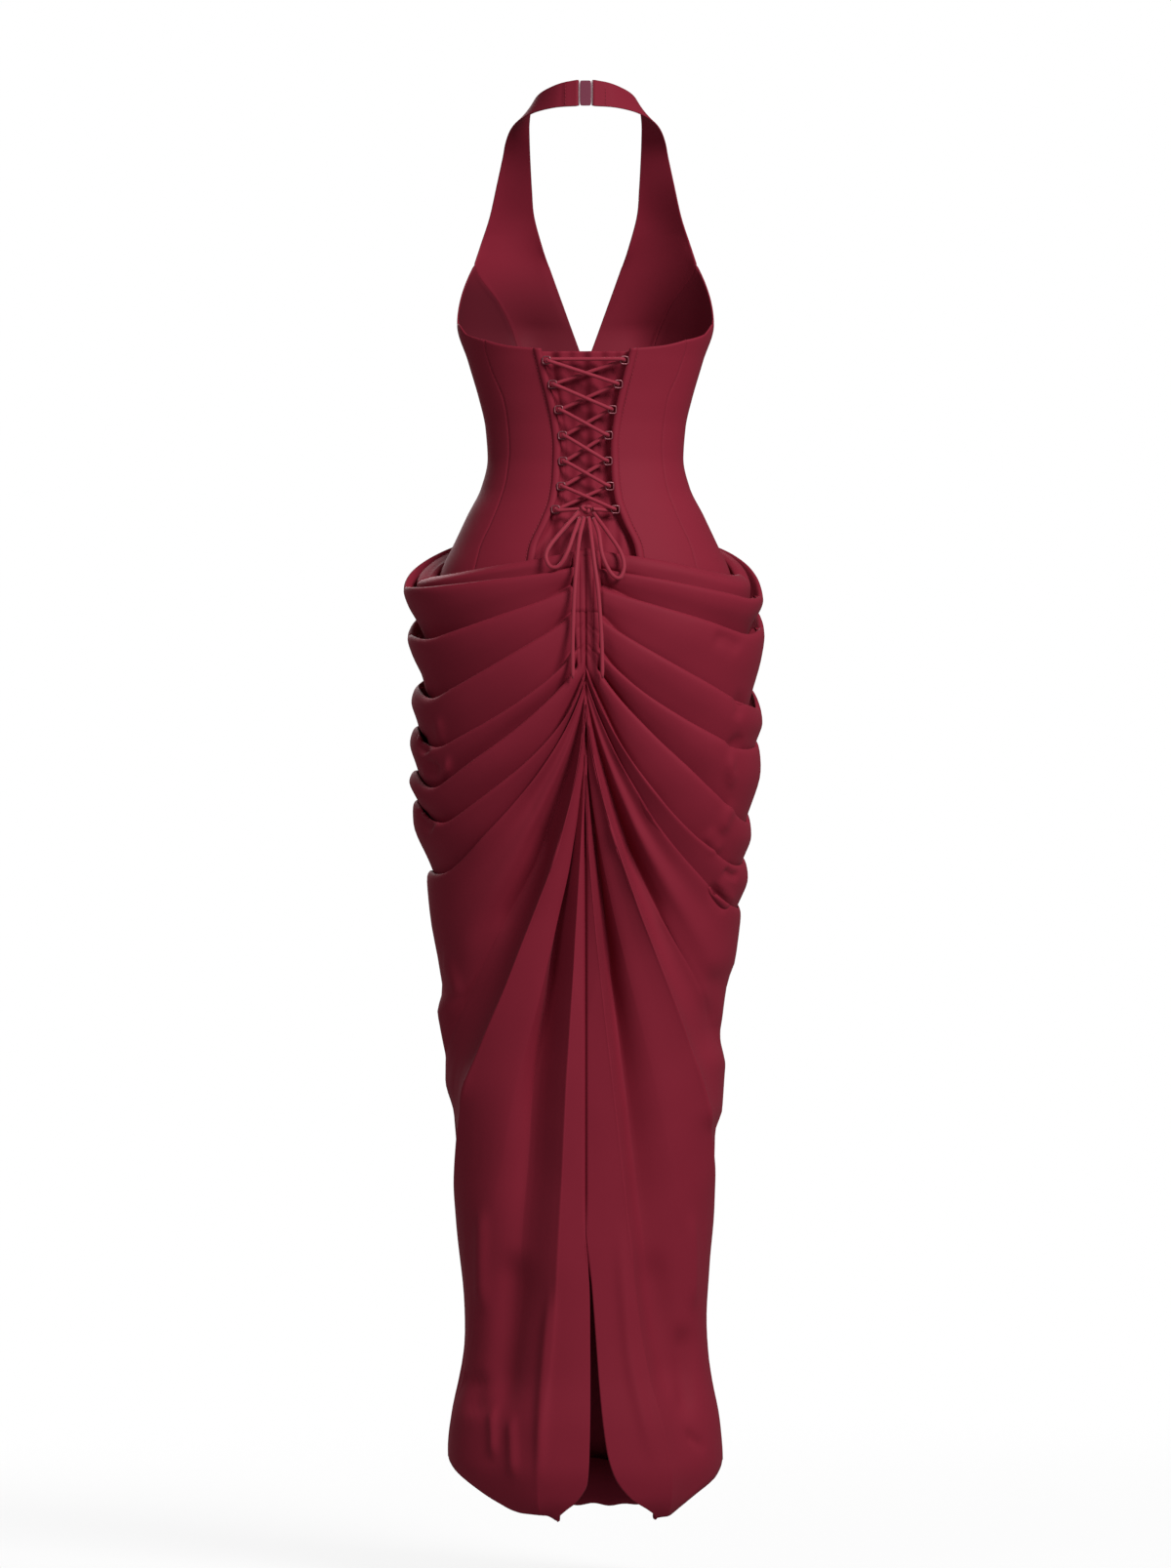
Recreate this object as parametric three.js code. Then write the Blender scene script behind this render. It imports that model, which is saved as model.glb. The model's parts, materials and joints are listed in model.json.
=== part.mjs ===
// A halter maxi dress, worn with no wearer: a laced bodice on princess seams that closes
// at the nape, over a long skirt whose back is draped in folds from a gathered centre seam.
// Millimetres, +Z up. The back of the dress faces -Y, and +X is the wearer's right.
// The origin is at the nape, on the inner face of the neck clasp at half its height.
import * as THREE from 'three';

// Driving sizes
const FORM_Y = 58; // the body's axis lies this far in front of the nape
const CLOTH = 1.6; // thickness of a cloth wall
const SEAM = 0.3; // gap between pieces at a seam
const BODICE_BOTTOM = -556; // hidden seam where bodice and skirt meet
const ARMHOLE_Z = -178; // where the princess seam reaches the armhole
const SIDE_TOP_Z = -244; // top of the side seam
const LACE = 4.2; // lace diameter
const WIRE = 1.4; // wire of a lacing ring
const RING = 9.4; // outer size of a lacing ring
const CASING_WIDTH = 8;
const CASING_THICK = 1.2;
const CUP = { x: 72, z: -258, wide: 36, tall: 48, full: 17 }; // fullness of each cup

const WINE = 0x7c2231;
const cloth = new THREE.MeshStandardMaterial({ color: WINE, roughness: 0.72, metalness: 0 });
const insideCloth = new THREE.MeshStandardMaterial({ color: 0x5e1822, roughness: 0.8, metalness: 0 });
const cord = new THREE.MeshStandardMaterial({ color: 0x8a2838, roughness: 0.6, metalness: 0 });
const metal = new THREE.MeshStandardMaterial({ color: 0xb89a9c, roughness: 0.35, metalness: 0.9 });
const plate = new THREE.MeshStandardMaterial({ color: 0x8c4a58, roughness: 0.5, metalness: 0.1 });

// Sections of the body form: half width, depth behind and in front of the axis.
const BODY = [
  { z: -30, wide: 92, back: 56, front: 34 },
  { z: -63, wide: 112, back: 64, front: 50 },
  { z: -126, wide: 130, back: 76, front: 78 },
  { z: -181, wide: 136, back: 83, front: 97 },
  { z: -245, wide: 138.6, back: 86, front: 104 },
  { z: -284, wide: 126.5, back: 80, front: 98 },
  { z: -325, wide: 114.5, back: 74, front: 88 },
  { z: -357, wide: 107.6, back: 71, front: 82 },
  { z: -388, wide: 105.5, back: 72, front: 80 },
  { z: -420, wide: 112.3, back: 78, front: 82 },
  { z: -451, wide: 127.6, back: 88, front: 88 },
  { z: -477, wide: 140, back: 98, front: 93 },
  { z: -513, wide: 156, back: 110, front: 99 },
  { z: -560, wide: 166, back: 118, front: 102 },
];

// Sections of the skirt without its folds: half width on each side, depth behind and in front.
const SKIRT = [
  { z: -430, left: 150, right: 150, back: 92, front: 92 },
  { z: -480, left: 176, right: 172, back: 108, front: 102 },
  { z: -520, left: 185, right: 179, back: 121, front: 112 },
  { z: -560, left: 180, right: 180, back: 129, front: 119 },
  { z: -620, left: 176, right: 180, back: 133, front: 124 },
  { z: -690, left: 178, right: 180, back: 132, front: 126 },
  { z: -745, left: 179, right: 176, back: 129, front: 125 },
  { z: -785, left: 174, right: 169, back: 127, front: 123 },
  { z: -827, left: 164, right: 166, back: 124, front: 121 },
  { z: -880, left: 162, right: 161, back: 121, front: 119 },
  { z: -970, left: 153, right: 155, back: 117, front: 117 },
  { z: -1050, left: 151, right: 148, back: 114, front: 115 },
  { z: -1134, left: 139, right: 139, back: 111, front: 112 },
  { z: -1218, left: 133, right: 132, back: 109, front: 110 },
  { z: -1302, left: 127, right: 128, back: 108, front: 109 },
  { z: -1365, left: 131, right: 132, back: 110, front: 111 },
  { z: -1428, left: 146, right: 145, back: 117, front: 117 },
  { z: -1465, left: 148, right: 148, back: 118, front: 118 },
  { z: -1500, left: 140, right: 141, back: 112, front: 112 },
  { z: -1535, left: 124, right: 125, back: 98, front: 99 },
];

// Folds of the skirt's back, inside to outside and top to bottom. Each runs from the centre
// seam (height start) through a point part way (across, height) to the side seam (height end),
// or to the hem where hem gives how far across it ends. kind: lip is a rolled fold with a
// pocket behind its top edge, soft is a round crest or hollow. rise is its height off the
// form near the start, mid way and at the end, and deep is how far its pocket reaches down.
const LEFT_FOLDS = [
  { name: 'inner lip', kind: 'lip', start: -489, across: 103, height: -504, end: -518, rise: [4, 5, 5], deep: 8 },
  { name: 'rim', kind: 'lip', start: -505, across: 103, height: -522, end: -531, rise: [5, 8, 9], deep: 34 },
  { name: 'second', kind: 'lip', start: -524, across: 103, height: -561, end: -592, rise: [3, 8, 11], deep: 20 },
  { name: 'third', kind: 'lip', start: -550, across: 100, height: -609, end: -662, rise: [3, 9, 11], deep: 18 },
  { name: 'fourth', kind: 'lip', start: -580, across: 89, height: -660, end: -715, rise: [3, 9, 10], deep: 16 },
  { name: 'fifth', kind: 'lip', start: -602, across: 94, height: -690, end: -762, rise: [3, 9, 10], deep: 14 },
  { name: 'sixth', kind: 'lip', start: -616, across: 82, height: -728, end: -800, rise: [3, 9, 10], deep: 12 },
  { name: 'seventh', kind: 'lip', start: -628, across: 92, height: -775, end: -850, rise: [2, 8, 10], deep: 10 },
  { name: 'below', kind: 'soft', start: -640, across: 78, height: -850, end: -1030, rise: [0, -13, -3] },
  { name: 'crest', kind: 'soft', start: -652, across: 65, height: -915, end: -1195, rise: [3, 9, 4] },
  { name: 'side hem', kind: 'soft', start: -668, across: 55, height: -985, end: -1462, rise: [0, -3, 0] },
  { name: 'hollow', kind: 'soft', start: -686, across: 40, height: -1050, end: -1508, hem: 97, rise: [-2, -15, -4] },
  { name: 'inner crest', kind: 'soft', start: -708, across: 19, height: -1060, end: -1524, hem: 46, rise: [2, 8, 4] },
  { name: 'seam', kind: 'edge', start: -735, across: 0, height: -1110, end: -1531, hem: 29, rise: [-2, -4, 0] },
];
const RIGHT_FOLDS = [
  { name: 'inner lip', kind: 'lip', start: -488, across: 118, height: -504, end: -519, rise: [4, 6, 6], deep: 8 },
  { name: 'rim', kind: 'lip', start: -507, across: 118, height: -527, end: -545, rise: [5, 8, 9], deep: 26 },
  { name: 'second', kind: 'lip', start: -526, across: 118, height: -560, end: -585, rise: [3, 8, 10], deep: 18 },
  { name: 'third', kind: 'lip', start: -550, across: 95, height: -607, end: -663, rise: [3, 9, 10], deep: 18 },
  { name: 'fourth', kind: 'lip', start: -577, across: 95, height: -661, end: -712, rise: [3, 9, 10], deep: 16 },
  { name: 'fifth', kind: 'lip', start: -600, across: 105, height: -714, end: -788, rise: [3, 9, 10], deep: 15 },
  { name: 'sixth', kind: 'lip', start: -615, across: 95, height: -775, end: -836, rise: [3, 9, 9], deep: 12 },
  { name: 'seventh', kind: 'lip', start: -627, across: 92, height: -800, end: -880, rise: [1, 4, 9], deep: 10 },
  { name: 'below', kind: 'soft', start: -640, across: 80, height: -860, end: -1030, rise: [0, -12, -3] },
  { name: 'crest', kind: 'soft', start: -652, across: 70, height: -918, end: -1205, rise: [3, 9, 4] },
  { name: 'side hem', kind: 'soft', start: -668, across: 58, height: -985, end: -1464, rise: [0, -3, 0] },
  { name: 'hollow', kind: 'soft', start: -686, across: 42, height: -1050, end: -1504, hem: 118, rise: [-2, -14, -4] },
  { name: 'inner crest', kind: 'soft', start: -708, across: 24, height: -1040, end: -1523, hem: 84, rise: [2, 7, 4] },
  { name: 'seam', kind: 'edge', start: -735, across: 0, height: -1110, end: -1530, hem: 72, rise: [-2, -4, 0] },
];

// How far each fold climbs from the side to the centre front.
const FRONT_CLIMB = [56, 78, 74, 62, 50, 40, 30, 20, 0, -10, -58];

// The slit: how far each petal's edge lies from the centre, to the left and to the right.
const SLIT = [
  { z: -735, left: -SEAM / 2, right: SEAM / 2 },
  { z: -1208, left: -SEAM / 2, right: SEAM / 2 },
  { z: -1301, left: 0, right: 9 },
  { z: -1395, left: 1, right: 16 },
  { z: -1453, left: 1, right: 23 },
  { z: -1482, left: 0, right: 31 },
  { z: -1505, left: -10, right: 46 },
  { z: -1531, left: -29, right: 72 },
];

// Height of the back hem by the angle round from the centre back.
const HEM = {
  left: [
    { degrees: 12, z: -1531 },
    { degrees: 22, z: -1524 },
    { degrees: 31, z: -1520 },
    { degrees: 44, z: -1508 },
    { degrees: 64, z: -1487 },
    { degrees: 78, z: -1474 },
    { degrees: 90, z: -1462 },
  ],
  right: [
    { degrees: 30, z: -1530 },
    { degrees: 36, z: -1520 },
    { degrees: 43, z: -1518 },
    { degrees: 50, z: -1510 },
    { degrees: 61, z: -1497 },
    { degrees: 80, z: -1479 },
    { degrees: 90, z: -1464 },
  ],
};

// Profile of one lip layer, from this lip to the next: how far down the layer (when the fold
// lies flat, and when it is full), how much of the next pocket's depth is added, and how much
// of the rise stands out.
const LIP_PROFILE = [
  { flat: 0.0, full: 0.0, drop: 0, out: 0.8 },
  { flat: 0.14, full: 0.1, drop: 0, out: 1.12 },
  { flat: 0.42, full: 0.45, drop: 0, out: 0.92 },
  { flat: 0.66, full: 0.86, drop: 0.1, out: 0.3 },
  { flat: 0.8, full: 1.0, drop: 1.0, out: -0.25 },
  { flat: 0.92, full: 1.0, drop: 0.5, out: 0.25 },
];
const LAST_LIP_PROFILE = [
  { flat: 0.0, full: 0.0, drop: 0, out: 0.8 },
  { flat: 0.1, full: 0.06, drop: 0, out: 1.12 },
  { flat: 0.35, full: 0.3, drop: 0, out: 0.8 },
  { flat: 0.7, full: 0.7, drop: 0, out: 0.2 },
];
const SOFT_STEPS = [0, 0.25, 0.5, 0.75];
const BACK_COLUMNS = [0, 0.05, 0.12, 0.22, 0.33, 0.44, 0.55, 0.66, 0.77, 0.87, 0.95, 1];
const FRONT_COLUMNS = 12;

// Seams of the bodice back: distance from the centre of the laced opening's edge, and of the
// seam between back and side back.
const BACK_SEAMS = [
  { z: -268, opening: 48, sideBack: 108 },
  { z: -295, opening: 42.5, sideBack: 101 },
  { z: -327, opening: 34.5, sideBack: 88 },
  { z: -349, opening: 30, sideBack: 84 },
  { z: -380, opening: 27, sideBack: 82 },
  { z: -410, opening: 28, sideBack: 85 },
  { z: -435, opening: 31.5, sideBack: 92 },
  { z: -458, opening: 40, sideBack: 101 },
  { z: -489, opening: 53, sideBack: 114 },
  { z: -556, opening: 60, sideBack: 126 },
];
// Top edge of the bodice back, by distance from the centre.
const BACK_TOP = [
  { x: 0, z: -276 },
  { x: 48, z: -274 },
  { x: 76, z: -271 },
  { x: 105, z: -264.5 },
  { x: 128, z: -257 },
  { x: 138.6, z: SIDE_TOP_Z },
];
// Princess seam of the bodice front, from the hidden bottom seam to the armhole.
const PRINCESS = [
  { z: -556, x: 84 },
  { z: -480, x: 76 },
  { z: -430, x: 62 },
  { z: -388, x: 55 },
  { z: -330, x: 64 },
  { z: -269, x: 74 },
  { z: -249, x: 80 },
  { z: -218, x: 95 },
  { z: ARMHOLE_Z, x: 121 },
];
// The V of the neck: share of the seam's height where it starts, and its lowest point.
const V_NECK = { share: 0.73, z: -286, topX: 39.5, topZ: -178 };
// Rows of the halter above the bust, up to the clasp. in: the neck edge. out: the armhole edge.
const HALTER = [
  { inX: 47, inY: 139, inZ: -156, outX: 113.5, outY: 108, outZ: -155 },
  { inX: 56, inY: 126, inZ: -123, outX: 104, outY: 106, outZ: -126 },
  { inX: 58.5, inY: 113, inZ: -95, outX: 96.6, outY: 97, outZ: -94 },
  { inX: 60, inY: 100, inZ: -68, outX: 89.5, outY: 87, outZ: -63 },
  { inX: 61, inY: 86, inZ: -43, outX: 86, outY: 74, outZ: -46 },
  { inX: 61, inY: 70, inZ: -24, outX: 80, outY: 58, outZ: -33 },
  { inX: 58, inY: 50, inZ: -9, outX: 70, outY: 43, outZ: -24 },
  { inX: 49, inY: 27, inZ: 2, outX: 54, outY: 24, outZ: -18 },
  { inX: 30, inY: 6.6, inZ: 10, outX: 32, outY: 6, outZ: -14.5 },
  { inX: 9.4, inY: -1.6, inZ: 14, outX: 9.4, outY: -1.6, outZ: -13.6 },
];
const HALTER_ACROSS = 5;

// Heights of the lacing rings, top to bottom.
const RING_ROWS = [-286.6, -312, -339, -366.5, -394, -421, -446];
const KNOT = { x: 1, z: -446, wide: 13, tall: 11, thick: 10, off: 9 };
const LACE_BEND = 4; // steps of the lace round a ring's bar

// Routes of the bow's ears and of the free ends: how far across, the height, and how far off
// the drape.
const BOW = {
  left: [
    { x: -7, z: -449, off: 10 },
    { x: -22, z: -466, off: 10 },
    { x: -38, z: -486, off: 11 },
    { x: -42, z: -498, off: 12 },
    { x: -37, z: -508, off: 12 },
    { x: -28, z: -507, off: 12 },
    { x: -19, z: -492, off: 14 },
    { x: -12, z: -472, off: 16 },
    { x: -6, z: -455.5, off: 17 },
  ],
  right: [
    { x: 8.5, z: -450, off: 10 },
    { x: 24, z: -472, off: 10 },
    { x: 37, z: -492, off: 11 },
    { x: 41, z: -508, off: 12 },
    { x: 36, z: -520, off: 12 },
    { x: 27, z: -515, off: 12 },
    { x: 18, z: -496, off: 14 },
    { x: 14, z: -472, off: 16 },
    { x: 8.5, z: -456, off: 17 },
  ],
};
const ENDS = {
  left: [
    { x: -1.5, z: -455, off: 13 },
    { x: -6, z: -475, off: 14 },
    { x: -9, z: -500, off: 16 },
    { x: -12, z: -540, off: 14 },
    { x: -13.5, z: -585, off: 13 },
    { x: -13.5, z: -627, off: 13 },
  ],
  right: [
    { x: 3.5, z: -455, off: 12 },
    { x: 6, z: -475, off: 12 },
    { x: 9, z: -500, off: 15 },
    { x: 14, z: -540, off: 14 },
    { x: 17, z: -585, off: 13 },
    { x: 18, z: -627, off: 13 },
  ],
};

// Reads a column of a table at a height, smoothly and without overshoot.
function read(rows, column, at, key = 'z') {
  const list = rows[0][key] < rows[rows.length - 1][key] ? rows : [...rows].reverse();
  const last = list.length - 1;
  if (at <= list[0][key]) return list[0][column];
  if (at >= list[last][key]) return list[last][column];
  let i = 0;
  while (at > list[i + 1][key]) i += 1;
  const slope = (j) => {
    if (j <= 0 || j >= last) return 0;
    const before = (list[j][column] - list[j - 1][column]) / (list[j][key] - list[j - 1][key]);
    const after = (list[j + 1][column] - list[j][column]) / (list[j + 1][key] - list[j][key]);
    return before * after <= 0 ? 0 : (2 * before * after) / (before + after);
  };
  const span = list[i + 1][key] - list[i][key];
  const t = (at - list[i][key]) / span;
  const h1 = t * t * (3 - 2 * t);
  return (
    list[i][column] * (1 - h1) +
    list[i + 1][column] * h1 +
    span * t * (1 - t) * (slope(i) * (1 - t) - slope(i + 1) * t)
  );
}

const mix = (a, b, t) => a + (b - a) * t;
const smooth = (t) => {
  const k = Math.min(1, Math.max(0, t));
  return k * k * (3 - 2 * k);
};

// A point of an elliptic section. turn is 0 at the centre back, a right angle at a side and
// half a circle at the centre front.
function sectionPoint(turn, z, wide, back, front) {
  const depth = Math.cos(turn) > 0 ? back : front;
  return new THREE.Vector3(wide * Math.sin(turn), FORM_Y - depth * Math.cos(turn), z);
}

function cupFullness(x, z) {
  const across = (Math.abs(x) - CUP.x) / CUP.wide;
  const up = (z - CUP.z) / CUP.tall;
  return CUP.full * Math.exp(-across * across - up * up);
}

function bodyPoint(turn, z, off = 0) {
  const wide = read(BODY, 'wide', z) + off;
  const point = sectionPoint(turn, z, wide, read(BODY, 'back', z) + off, read(BODY, 'front', z) + off);
  if (Math.cos(turn) < 0) point.y -= Math.cos(turn) * cupFullness(point.x, z);
  return point;
}

const backTurn = (x, z) => Math.asin(Math.min(1, Math.max(-1, x / read(BODY, 'wide', z))));
const frontTurn = (x, z) => Math.PI - backTurn(x, z);

function skirtPoint(turn, z, off = 0) {
  const side = Math.sin(turn) < 0 ? 'left' : 'right';
  return sectionPoint(
    turn, z, read(SKIRT, side, z) + off, read(SKIRT, 'back', z) + off, read(SKIRT, 'front', z) + off,
  );
}

// Closed wall from a grid of points on its outer face, with rows of its inner face if given.
// flip turns the face over. At a seam that lies in a plane, plane names the axis along which
// the inner points stay level with the outer ones. side keeps the wall to one side of x = 0.
function wall(grid, { thick = CLOTH, flip = false, plane = () => null, inside = [], side = 0 } = {}) {
  const rows = grid.length;
  const columns = grid[0].length;
  const normalAt = (i, j) => {
    const along = grid[Math.min(rows - 1, i + 1)][j].clone().sub(grid[Math.max(0, i - 1)][j]);
    const across = grid[i][Math.min(columns - 1, j + 1)].clone().sub(grid[i][Math.max(0, j - 1)]);
    const normal = across.cross(along);
    const axis = plane(i, j, rows, columns);
    if (axis) normal[axis] = 0;
    return normal.normalize().multiplyScalar(flip ? -1 : 1);
  };
  const positions = [];
  grid.forEach((row) => row.forEach((p) => positions.push(p.x, p.y, p.z)));
  grid.forEach((row, i) => row.forEach((p, j) => {
    const q = inside[i]?.[j] ?? p.clone().addScaledVector(normalAt(i, j), -thick);
    if (side !== 0) q.x = side * Math.max(SEAM / 2, side * q.x);
    positions.push(q.x, q.y, q.z);
  }));
  const outer = (i, j) => i * columns + j;
  const inner = (i, j) => rows * columns + i * columns + j;
  const index = [];
  const quad = (a, b, c, d) => {
    if (flip) index.push(a, c, b, a, d, c);
    else index.push(a, b, c, a, c, d);
  };
  for (let i = 0; i < rows - 1; i += 1) {
    for (let j = 0; j < columns - 1; j += 1) {
      quad(outer(i, j), outer(i, j + 1), outer(i + 1, j + 1), outer(i + 1, j));
      quad(inner(i, j), inner(i + 1, j), inner(i + 1, j + 1), inner(i, j + 1));
    }
    quad(outer(i, 0), outer(i + 1, 0), inner(i + 1, 0), inner(i, 0));
    const end = columns - 1;
    quad(outer(i + 1, end), outer(i, end), inner(i, end), inner(i + 1, end));
  }
  for (let j = 0; j < columns - 1; j += 1) {
    quad(outer(0, j + 1), outer(0, j), inner(0, j), inner(0, j + 1));
    const end = rows - 1;
    quad(outer(end, j), outer(end, j + 1), inner(end, j + 1), inner(end, j));
  }
  return meshData(positions, index);
}

function meshData(positions, index) {
  const geometry = new THREE.BufferGeometry();
  geometry.setAttribute('position', new THREE.Float32BufferAttribute(positions, 3));
  geometry.setIndex(index);
  geometry.computeVertexNormals();
  return geometry;
}

function mirrored(geometry) {
  const positions = [...geometry.attributes.position.array].map((v, i) => (i % 3 === 0 ? -v : v));
  const index = [...geometry.index.array];
  for (let i = 0; i < index.length; i += 3) [index[i + 1], index[i + 2]] = [index[i + 2], index[i + 1]];
  return meshData(positions, index);
}

const group = new THREE.Group();
function add(name, geometry, material) {
  const mesh = new THREE.Mesh(geometry, material);
  mesh.name = name;
  group.add(mesh);
  return mesh;
}

// Shares of the height of the bodice panels' rows. The third row is the casing's lower end.
const PANEL_ROWS = [0, 0.12, 0.245, 0.31, 0.37, 0.43, 0.49, 0.55, 0.61, 0.67, 0.73, 0.79, 0.86, 0.93, 1];
const CASING_ROW = 2;
const SIDE_GAP = SEAM / 250; // half the gap at the side seam, as an angle

// Bodice: each panel is a grid between two seams, from the hidden bottom seam to its top edge.
function bodyGrid(shares, columns, place, off = 0) {
  return shares.map((v) => {
    const row = [];
    for (let j = 0; j <= columns; j += 1) {
      const { turn, z } = place(v, j);
      row.push(bodyPoint(turn, z, off));
    }
    return row;
  });
}

function bodyWall(columns, place) {
  const inside = bodyGrid(PANEL_ROWS, columns, place, -CLOTH);
  return wall(bodyGrid(PANEL_ROWS, columns, place), { inside });
}

// The back panel's first column is the opening's edge, and its second the casing's other edge.
function backPlace(v, j) {
  const top = read(BACK_TOP, 'z', mix(48, 108, Math.max(0, j - 1) / 2), 'x');
  const z = mix(BODICE_BOTTOM, top, v);
  const opening = read(BACK_SEAMS, 'opening', z);
  const seam = read(BACK_SEAMS, 'sideBack', z) - SEAM / 2;
  const x = j === 0 ? opening : mix(opening + CASING_WIDTH, seam, (j - 1) / 2);
  return { turn: backTurn(x, z), z };
}

const backPanel = () => bodyWall(3, backPlace);

// The bone casing lies on the panel's edge: the panel's own points, moved out.
function casing() {
  const strip = bodyGrid(PANEL_ROWS, 3, backPlace).slice(CASING_ROW).map((row) => row.slice(0, 2).map((p) => (
    onBack(p.x, p.z, SEAM + CASING_THICK).point
  )));
  return wall(strip, { thick: CASING_THICK });
}

function sideBackPanel() {
  return bodyWall(4, (v, j) => {
    const u = j / 4;
    const top = read(BACK_TOP, 'z', mix(108, 138.6, Math.sin(u * Math.PI / 2)), 'x');
    const z = mix(BODICE_BOTTOM, top, v);
    const start = backTurn(read(BACK_SEAMS, 'sideBack', z) + SEAM / 2, z);
    return { turn: mix(start, Math.PI / 2 - SIDE_GAP, u), z };
  });
}

function sideFrontPanel() {
  return bodyWall(5, (v, j) => {
    const u = j / 5;
    const sideZ = mix(BODICE_BOTTOM, SIDE_TOP_Z, v);
    const seamZ = mix(BODICE_BOTTOM, ARMHOLE_Z, v);
    const z = mix(sideZ, seamZ, u);
    const seamTurn = frontTurn(read(PRINCESS, 'x', seamZ) + SEAM / 2, seamZ);
    return { turn: mix(Math.PI / 2 + SIDE_GAP, seamTurn, u), z };
  });
}

// The halter panel. Its lower rows meet the side front's at the princess seam and lie on the
// body form. Its upper rows are those of the table with one more between each two.
function halterPanel() {
  const low = PANEL_ROWS.map((v) => {
    const outZ = mix(BODICE_BOTTOM, ARMHOLE_Z, v);
    const open = Math.max(0, (v - V_NECK.share) / (1 - V_NECK.share));
    const closed = Math.min(1, v / V_NECK.share);
    return {
      inX: mix(SEAM / 2, V_NECK.topX, open),
      inZ: open > 0 ? mix(V_NECK.z, V_NECK.topZ, open) : mix(BODICE_BOTTOM, V_NECK.z, closed),
      outX: read(PRINCESS, 'x', outZ) - SEAM / 2,
      outZ,
    };
  });
  const onForm = (row, u, off) => {
    const x = mix(row.inX, row.outX, u);
    const z = mix(row.inZ, row.outZ, u);
    return bodyPoint(frontTurn(x, z), z, off);
  };
  const shares = Array.from({ length: HALTER_ACROSS + 1 }, (_, j) => j / HALTER_ACROSS);
  const grid = low.map((row) => shares.map((u) => onForm(row, u, 0)));
  const inside = low.map((row) => shares.map((u) => onForm(row, u, -CLOTH)));
  const top = low[low.length - 1];
  const start = {
    ...top, inY: onForm(top, 0, 0).y, outY: onForm(top, 1, 0).y,
  };
  const table = [start, ...HALTER];
  const edge = (t, column) => {
    const i = Math.min(table.length - 2, Math.floor(t));
    const at = (j) => table[Math.min(table.length - 1, Math.max(0, j))][column];
    if (t === i) return at(i);
    if (t === i + 1) return at(i + 1);
    return (9 * (at(i) + at(i + 1)) - at(i - 1) - at(i + 2)) / 16;
  };
  const chestCrown = onForm(top, 0.5, 0).y - mix(start.inY, start.outY, 0.5);
  for (let t = 0.5; t <= table.length - 1; t += 0.5) {
    const crown = chestCrown * (1 - smooth(t / 4));
    grid.push(shares.map((u) => new THREE.Vector3(
      mix(edge(t, 'inX'), edge(t, 'outX'), u),
      mix(edge(t, 'inY'), edge(t, 'outY'), u) + crown * 4 * u * (1 - u),
      mix(edge(t, 'inZ'), edge(t, 'outZ'), u),
    )));
  }
  return wall(grid, { flip: true, inside });
}

// The modesty panel lies under both edges of the opening and sinks in soft creases between.
function modestyPanel() {
  const rows = 9;
  const columns = 12;
  const grid = [];
  for (let i = 0; i <= rows; i += 1) {
    const z = mix(-542, -277, i / rows);
    const opening = read(BACK_SEAMS, 'opening', z);
    const row = [];
    for (let j = 0; j <= columns; j += 1) {
      const x = mix(-1, 1, j / columns) * (opening + 9);
      const sunk = 7 * smooth((opening + 3 - Math.abs(x)) / 11);
      const crease = 1.4 * Math.cos((x / opening) * 3 * Math.PI) * smooth((opening - Math.abs(x)) / 8);
      const p = bodyPoint(backTurn(x, z), z, -CLOTH - 0.9);
      p.y += sunk + crease;
      row.push(p);
    }
    grid.push(row);
  }
  return wall(grid, { thick: 1.2 });
}

// Where the back of the body faces, and a place on it by distance across and height.
function onBack(x, z, off) {
  const turn = backTurn(x, z);
  const p = bodyPoint(turn, z);
  const wide = read(BODY, 'wide', z);
  const back = read(BODY, 'back', z);
  const out = new THREE.Vector3(Math.sin(turn) / wide, -Math.cos(turn) / back, 0).normalize();
  return { point: p.addScaledVector(out, off), out };
}

const RING_OFF = SEAM + CASING_THICK + SEAM + WIRE / 2 + 0.7; // ring plane over the panel's face
const RING_CORNER = 1.6;
const ringX = (z) => read(BACK_SEAMS, 'opening', z) + 1 - RING / 2;

// A square ring of wire with cut corners: an extruded outline, its hole left open.
function ringMesh(side, z) {
  const half = RING / 2;
  const square = (r, cut, shape) => {
    shape.moveTo(r, -r + cut);
    shape.lineTo(r, r - cut);
    shape.lineTo(r - cut, r);
    shape.lineTo(-r + cut, r);
    shape.lineTo(-r, r - cut);
    shape.lineTo(-r, -r + cut);
    shape.lineTo(-r + cut, -r);
    shape.lineTo(r - cut, -r);
    shape.closePath();
    return shape;
  };
  const shape = square(half, RING_CORNER, new THREE.Shape());
  shape.holes.push(square(half - WIRE, RING_CORNER * 0.6, new THREE.Path()));
  const geometry = new THREE.ExtrudeGeometry(shape, { depth: WIRE, bevelEnabled: false, steps: 1 });
  geometry.translate(0, 0, -WIRE / 2);
  const { point, out } = onBack(side * ringX(z), z, RING_OFF);
  const up = new THREE.Vector3(0, 0, 1);
  const across = up.clone().cross(out);
  geometry.applyMatrix4(new THREE.Matrix4().makeBasis(across, up, out).setPosition(point));
  return geometry;
}

// A tube along a route. Each stretch between two points of the route gets the same few steps.
class Route extends THREE.CatmullRomCurve3 {
  getPointAt(u, target) {
    return this.getPoint(u, target);
  }

  getTangentAt(u, target) {
    return this.getTangent(u, target);
  }
}

function tube(points, diameter, sides, stepsEach) {
  const section = new THREE.Shape();
  for (let i = 0; i < sides; i += 1) {
    const turn = (2 * Math.PI * i) / sides;
    const x = (diameter / 2) * Math.cos(turn);
    const y = (diameter / 2) * Math.sin(turn);
    if (i === 0) section.moveTo(x, y);
    else section.lineTo(x, y);
  }
  section.closePath();
  const route = new Route(points, false, 'centripetal');
  return new THREE.ExtrudeGeometry(section, {
    extrudePath: route, steps: (points.length - 1) * stepsEach, bevelEnabled: false,
  });
}

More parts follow.
